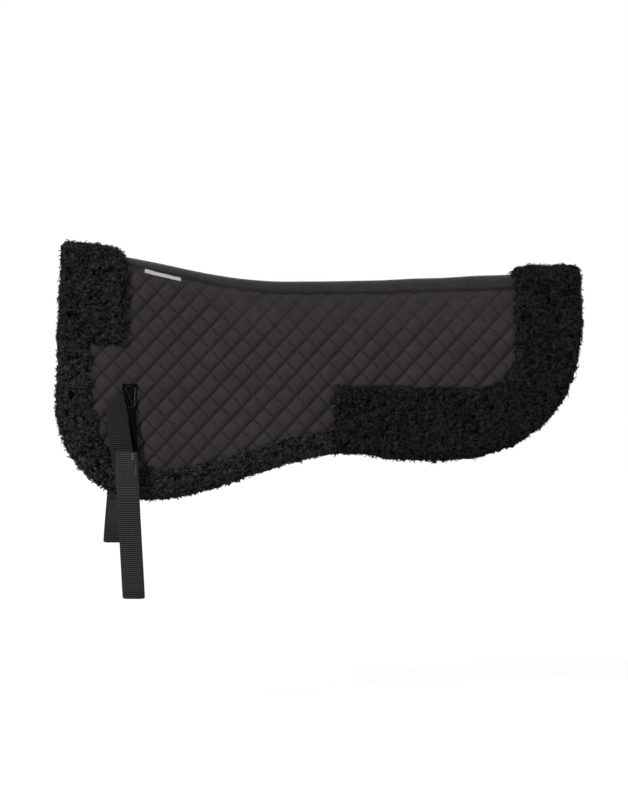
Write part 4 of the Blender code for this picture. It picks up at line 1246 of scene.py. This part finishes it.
def add_lining(name, side, seed):
    rows = rim_rows()
    roll = (LINING_RIM_WIDTH, -FOOT_OUT, 0, -LINING_THICKNESS, LINING_EDGE_RADIUS, 0)
    layout = pile_grid(rows, [pile_section(*roll)] * len(rows)) * (1, side, 1)
    rim = add_fleece(name + "_lining_rim", layout, slice(None), seed, LINING_FLEECE, seed)
    x = np.arange(FRONT_X, REAR_X, LINING_STEP)
    arc = np.arange(LINING_START, LINING_START + FRONT_DEPTH + POMMEL_RISE, LINING_STEP)
    x, arc = np.meshgrid(x, arc, indexing="ij")
    n = -LINING_THICKNESS * swelling(arc - LINING_START + MM, LINING_EDGE_RADIUS) + 0.5 * MM
    loop = under_trim(rows, QUILT_UNDER_TRIM / 2)
    loop = np.concatenate([loop, [(loop[-1, 0], POMMEL_RISE), (loop[0, 0], POMMEL_RISE)]])
    kept = inside(cell_middles(x), cell_middles(height_at(x, arc)), loop)
    points = drape(x, arc, n, side)
    normals = grid_normals(points)
    if np.sum(normals * (drape(x, arc, n - MM, side) - points)) < 0:
        normals = -normals
    grown, height = curly(points, normals, seed)
    used, faces = np.unique(quads(*x.shape)[kept.ravel()], return_inverse=True)
    faces = facing(faces.reshape(-1, 4), side > 0)
    grown, height = grown.reshape(-1, 3)[used], height.ravel()[used]
    # Painted shade and light by height, as on the other pile.
    field = add_mesh(name + "_lining_field", grown, faces, LINING_FLEECE, tuft=height)
    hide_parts(name + "_fleece_lining")
    for obj in (*rim, field):
        blend_flap(obj, name)


def add_label():
    start = FRONT_X + LABEL_FROM_FRONT
    x = np.linspace(start, start + LABEL_LENGTH, 64)
    x, below = np.meshgrid(x, np.linspace(0, LABEL_HEIGHT, 16), indexing="ij")
    arc = seam_arc(x) + LABEL_BELOW_SEAM + below
    n = np.maximum(quilt_n(x, arc), QUILT_TOP) + LABEL_RISE
    n += 0.2 * MM * noise(stacked(x, arc, 0), 9 * MM, 121)
    made = add_cloth("woven_label", x, arc, n, n - LABEL_THICKNESS, -1, LABEL)
    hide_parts("blank_label")
    blend_flap(made, "left")


add_spine()
for name, side in SIDES.items():
    add_seam(name, side)
    add_channel(name, side)
    add_lining(name, side, 101 if side < 0 else 103)
add_label()


# Straps

STRAP_BOWS = {"left": 0.0, "right": 3.5 * MM}
HIDDEN_PART_OVERLAP = 12 * MM
INNER_TAPE_ABOVE_END = 50 * MM
INNER_TAPE_LENGTH = 29 * MM
FOLD_SHARE = 0.97  # how far the folded end runs towards its apex, where it has no width
LOOP_BEND_ABOVE = 2 * MM
LOOP_BEND_BELOW = 14 * MM
PATCH_BELOW_TOP = 2.5 * MM
RIB_RISE = 0.5 * MM
WEBBING_STEP = 0.45 * MM
WEBBING_COLUMNS = 15
STITCH_INSET = 3 * MM
ANCHOR_SINK = 1.2 * MM
ANCHOR_EDGE_DROP = 0.8 * MM
ANCHOR_EDGE_RADIUS = 1.2 * MM
TACK_ROWS = 6
TACK_PITCH = 1.3 * MM
TACK_WIDTH = 6.5 * MM
STRAP_FRONT_X = FRONT_X + ANCHOR_FROM_FRONT - WEBBING_WIDTH


def hanging(x, t, n, side):
    """A point of a strap, t below the anchor: along the flap, then bending to hang plumb."""
    straight = np.minimum(t, BEND_START)
    bent = np.clip(t - BEND_START, 0, STRAP_BEND_LENGTH)
    plumb = np.maximum(t - BEND_START - STRAP_BEND_LENGTH, 0)
    radius = STRAP_BEND_LENGTH / (math.pi / 2 - FLAP_TURN)
    turn = FLAP_TURN + bent / radius
    anchor_arc = arc_at(STRAP_FRONT_X, -ANCHOR_BOTTOM_DEPTH)
    start = drape(np.full_like(t, STRAP_FRONT_X), anchor_arc + straight, 0, 1)
    y = start[..., 1] + radius * (np.sin(turn) - FLAP_SINE) + n * np.sin(turn)
    z = start[..., 2] + radius * (np.cos(turn) - FLAP_COSINE) + n * np.cos(turn) - plumb
    return stacked(x, side * y, z)


def ribs(distance):
    return RIB_RISE * np.abs(np.sin(math.pi * distance / RIB_PITCH)) ** 0.7


def ribbon(name, material, side, edges, *path):
    """Webbing or tape along (t, n) places; edges gives the x of its two edges at each t."""
    tape = material in (LOOP_TAPE, SMOOTH_TAPE, HOOK_TAPE)
    line = resampled(path, WEBBING_STEP)
    normal = left_of(line)
    travelled = np.arange(len(line)) * WEBBING_STEP
    across = np.sin(np.linspace(-math.pi / 2, math.pi / 2, WEBBING_COLUMNS))
    thickness = PATCH_THICKNESS if tape else WEBBING_THICKNESS
    half = thickness / 2 * np.maximum(1 - across ** 8, 0.15) ** 0.5
    rib = 0 * travelled if tape else ribs(travelled)
    low_x, high_x = edges(line[:, 0])
    x = mix(low_x[:, None], high_x[:, None], (across + 1) / 2)
    rings = []
    for face in (1, -1):
        offset = face * (half[None, :] + rib[:, None] * (1 - across ** 6))
        t = line[:, :1] + offset * normal[:, :1]
        n = line[:, 1:] + offset * normal[:, 1:]
        rings.append(hanging(x, t, n, side)[:, ::face])
    points = np.concatenate(rings, axis=1)
    rows, columns = points.shape[:2]
    faces = quads(rows, columns, around=True).tolist()
    faces.append(list(range(columns))[::-1])
    faces.append(list(range((rows - 1) * columns, rows * columns)))
    if side > 0:
        faces = [face[::-1] for face in faces]
    x = np.concatenate([x, x[:, ::-1]], axis=1)
    return add_mesh(name, points, faces, material, stacked(x, travelled[:, None], 0))


def straight(middle, width=WEBBING_WIDTH):
    """The edges of a strip of even width about its middle line."""
    return lambda t: (middle(t) - width / 2, middle(t) + width / 2)


def upper_middle(t):
    return FRONT_X + UPPER_LEG_FROM_FRONT + t * math.tan(UPPER_LEG_LEAN)


def folded_edges(t):
    """The upper leg's edges, which run together at the apex above the sewn end's foot."""
    share = np.clip(-t / FOLD_LENGTH, 0, FOLD_SHARE)
    edges = straight(upper_middle)
    apex = FRONT_X + FOLD_APEX_FROM_FRONT
    return [np.where(t < 0, mix(foot, apex, share), x) for foot, x in zip(edges(0), edges(t))]


def spreading(start, rest):
    t = np.linspace(0, LOOP_SPREAD_LENGTH, 20)
    return stacked(t, mix(start, rest, ease(t / LOOP_SPREAD_LENGTH)))


def sew(name, lines, to_world, material, body):
    """Rows of stitches between pairs of places on a strap's face."""
    lines = [np.linspace(start, end, 40) for start, end in lines]
    made = add_stitches(name, lines, to_world, material)
    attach(made, body)


def add_strap(name, side):
    length, lean, tail_top = STRAPS[name]
    flap, strap, strap_tail = (name + part for part in ("_flap", "_strap", "_strap_tail"))
    turn_start = length - TURN_RADIUS
    patch_seat = (WEBBING_THICKNESS + PATCH_THICKNESS) / 2

    def middle(t):
        """The strap's middle line, which leans and bows a little forwards on its way down."""
        bowed = STRAP_BOWS[name] * np.sin(math.pi * np.clip(t / length, 0, 1))
        return FRONT_X + ANCHOR_FROM_FRONT + t * math.tan(lean) - bowed

    def level(t, n):
        return hanging(np.zeros(1), np.array([t], float), n, side)[0, 2]

    edges = straight(middle)
    hidden_end = (tail_top + HIDDEN_PART_OVERLAP, LEG_REST)
    hidden = (*spreading(LEG_START, LEG_REST), hidden_end)
    # The back leg is painted with the shadow webbing.
    leg = ribbon(name + "_back_leg", SHADOW_WEBBING, side, edges, *hidden)
    half_turn = np.linspace(0, math.pi, 24)
    turned_t = turn_start + TURN_RADIUS * np.sin(half_turn)
    turned_n = LEG_REST + TURN_RADIUS * (1 - np.cos(half_turn))
    turned = (hidden_end, *zip(turned_t, turned_n))
    end = ribbon(name + "_end_loop", SHADED_BACK_WEBBING, side, edges, *turned)
    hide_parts(name + "_strap_back_leg")
    inner_t = length - INNER_TAPE_ABOVE_END
    inner_n = LEG_REST - patch_seat - RIB_RISE
    taped = ((inner_t, inner_n), (inner_t + INNER_TAPE_LENGTH, inner_n))
    narrow = straight(middle, PATCH_WIDTH)
    inner = ribbon(name + "_inner_tape", SMOOTH_TAPE, side, narrow, *taped)
    for obj in (end, inner):
        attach(obj, strap)

    sewn_end = (-FOLD_LENGTH * FOLD_SHARE, UPPER_START)
    front = (sewn_end, *spreading(UPPER_START, UPPER_REST), (UPPER_LEG_LENGTH, UPPER_REST))
    upper = ribbon(name + "_upper_leg", SHADED_UPPER_WEBBING, side, folded_edges, *front)
    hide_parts(name + "_strap_upper_leg", name + "_strap_fold")
    pivot_z = level(0, UPPER_START)
    above, below = (0, 0, pivot_z + LOOP_BEND_ABOVE), (0, 0, pivot_z - LOOP_BEND_BELOW)
    for obj in (leg, upper):
        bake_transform(obj)
        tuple(above)
        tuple(below)

    free = ((tail_top, TAIL_REST), (turn_start - GAP, TAIL_REST))
    tail = ribbon(name + "_tail", WEBBING, side, edges, *free)
    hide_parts(name + "_strap_tail")
    hinge_z = level(turn_start, TAIL_REST)
    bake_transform(tail)

    top = tail_top + PATCH_BELOW_TOP
    foot = top + PATCH_LENGTH
    centre = tail_top + PATCH_LENGTH / 2
    loop_n = UPPER_REST + patch_seat + GAP
    hook_n = TAIL_REST - patch_seat - GAP
    patches = (
        ("loop", upper_middle(centre), loop_n, LOOP_TAPE, "loop_pile", strap),
        ("hook", middle(centre), hook_n, HOOK_TAPE, "hook_tape", strap_tail),
    )
    for kind, x, n, material, slot, body in patches:
        upright = straight(lambda t: np.full_like(t, x), PATCH_WIDTH)
        made = ribbon(f"{name}_{kind}_tape", material, side, upright, (top, n), (foot, n))
        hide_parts(f"{name}_{kind}_patch")
        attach(made, body)

    low, high = edges(centre)
    low, high = low + STITCH_INSET, high - STITCH_INSET
    box = (
        ((low, top), (high, top)),
        ((low, top), (low, foot)),
        ((high, top), (high, foot)),
        ((low, foot), (high, foot)),
    )
    rows = top + np.arange(TACK_ROWS) * TACK_PITCH
    tack = [((high - TACK_WIDTH, row), (high + MM, row)) for row in rows]
    tack.append(((high, top + 2 * TACK_WIDTH), (high, top + 4 * TACK_WIDTH)))
    face = TAIL_REST + WEBBING_THICKNESS / 2 + RIB_RISE

    def on_tail(x, t, dip):
        return hanging(x, t, face + dip, side)

    def on_stitches(x, t, dip):
        return hanging(x, t, face + STITCH_RADIUS + dip, side)

    sew(name + "_tail_stitches", box, on_tail, GREY_THREAD, strap_tail)
    sew(name + "_tail_tack", tack, on_stitches, PALE_THREAD, strap_tail)


def add_anchor(name, side):
    """The webbing's end, sewn flat on the quilting with a crossed box."""
    right = FRONT_X + ANCHOR_FROM_FRONT + ANCHOR_WIDTH / 2
    x = np.linspace(FRONT_X + FOLD_APEX_FROM_FRONT, right, 40)
    lowest = -ANCHOR_BOTTOM_DEPTH
    z = np.arange(lowest + ANCHOR_LENGTH, lowest - WEBBING_STEP, -WEBBING_STEP)
    low, high = x[0] + STITCH_INSET, x[-1] - STITCH_INSET
    top, foot = z[0] - STITCH_INSET, z[-1] + STITCH_INSET
    z, x = np.meshgrid(z, x, indexing="ij")
    arc = arc_at(x, z)
    from_edge = np.min([x - x[0, 0], x[0, -1] - x, z[0, 0] - z, z - z[-1, 0]], axis=0)
    n = QUILT_TOP + ANCHOR_THICKNESS + ribs(z)
    n -= ANCHOR_EDGE_DROP * (1 - swelling(from_edge, ANCHOR_EDGE_RADIUS))
    place = {"turned": side < 0, "cloth": stacked(x, -z, 0)}
    foot_n = QUILT_TOP - ANCHOR_SINK
    # The tab is painted with the shadow webbing.
    made = add_cloth(name + "_anchor_tab", x, arc, n, foot_n, side, SHADOW_WEBBING, **place)
    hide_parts(name + "_strap_anchor")
    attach(made, name + "_flap")
    box = (
        ((low, top), (high, top)),
        ((high, foot), (low, foot)),
        ((low, foot), (low, top)),
        ((low, top), (high, foot)),
        ((high, top), (low, foot)),
    )
    edge = [((high + MM, top), (high + MM, foot))]

    def on_tab(x, z, dip):
        return drape(x, arc_at(x, z), QUILT_TOP + ANCHOR_THICKNESS + RIB_RISE + dip, side)

    sew(name + "_anchor_stitches", box, on_tab, GREY_THREAD, name + "_flap")
    sew(name + "_anchor_edge", edge, on_tab, PALE_THREAD, name + "_flap")


for name, side in SIDES.items():
    add_strap(name, side)
    add_anchor(name, side)


# Studio

FLOOR_Z = -0.47
FLOOR_SIZE = 12.0
FLOOR_GLOW_SHARE = 0.7
FLOOR_GLOW = 1.25
AMBIENT = 0.26


def white_to_the_camera(tree):
    """1 for rays that show the background, 0 for those that light the object."""
    rays = tree.nodes.new("ShaderNodeLightPath").outputs
    seen = combined("MAXIMUM", rays["Is Camera Ray"], rays["Is Glossy Ray"])
    return combined("MAXIMUM", seen, rays["Is Transmission Ray"])


def mixed_surface(output, share, first, second):
    """What a material or the world shows: the second shader by this share, else the first."""
    mixed = output.id_data.nodes.new("ShaderNodeMixShader")
    link(share, mixed.inputs["Fac"])
    link(first, mixed.inputs[1])
    link(second, mixed.inputs[2])
    link(mixed.outputs["Shader"], output.inputs["Surface"])


def add_floor():
    """A white floor: part of what the camera sees of it is glow, and the rest keeps shadows."""
    made, shader = new_material("white_floor", (0.6, 0.6, 0.6), 0.95, 0.0, 0.0)
    nodes = made.node_tree.nodes
    glow = nodes.new("ShaderNodeEmission")
    glow.inputs["Strength"].default_value = FLOOR_GLOW
    share = times(white_to_the_camera(made.node_tree), FLOOR_GLOW_SHARE)
    output = nodes["Material Output"]
    mixed_surface(output, share, shader.outputs["BSDF"], glow.outputs["Emission"])
    signs = ((-1, -1), (1, -1), (1, 1), (-1, 1))
    corners = [(x * FLOOR_SIZE, y * FLOOR_SIZE, FLOOR_Z) for x, y in signs]
    add_mesh("floor", corners, [(0, 1, 2, 3)], made)


def light_world():
    world = bpy.data.worlds.new("studio")
    world.use_nodes = True
    bpy.context.scene.world = world
    nodes = world.node_tree.nodes
    ambient, white = nodes["Background"], nodes.new("ShaderNodeBackground")
    for background, strength in ((ambient, AMBIENT), (white, 1.0)):
        background.inputs["Color"].default_value = (1, 1, 1, 1)
        background.inputs["Strength"].default_value = strength
    shaders = (ambient.outputs["Background"], white.outputs["Background"])
    mixed_surface(nodes["World Output"], white_to_the_camera(world.node_tree), *shaders)


def add_sun(name, toward, spread, strength):
    """A soft sun that stands in this direction from the object."""
    light = bpy.data.lights.new(name, "SUN")
    light.angle = math.radians(spread)
    light.energy = strength
    lamp = placed(name, light)
    lamp.location = Vector(toward) * 2
    lamp.rotation_euler = Vector(toward).to_track_quat("Z", "Y").to_euler()


add_floor()
light_world()
add_sun("key", (-0.62, -0.62, 0.55), 5, 2.5)
add_sun("fill", (0.8, -0.6, 0.25), 50, 0.2)
add_sun("rear", (0.95, 0.05, 0.3), 40, 1.3)
add_sun("back", (0.3, 0.9, 0.28), 25, 2.3)

bpy.context.scene.view_settings.view_transform = "Standard"
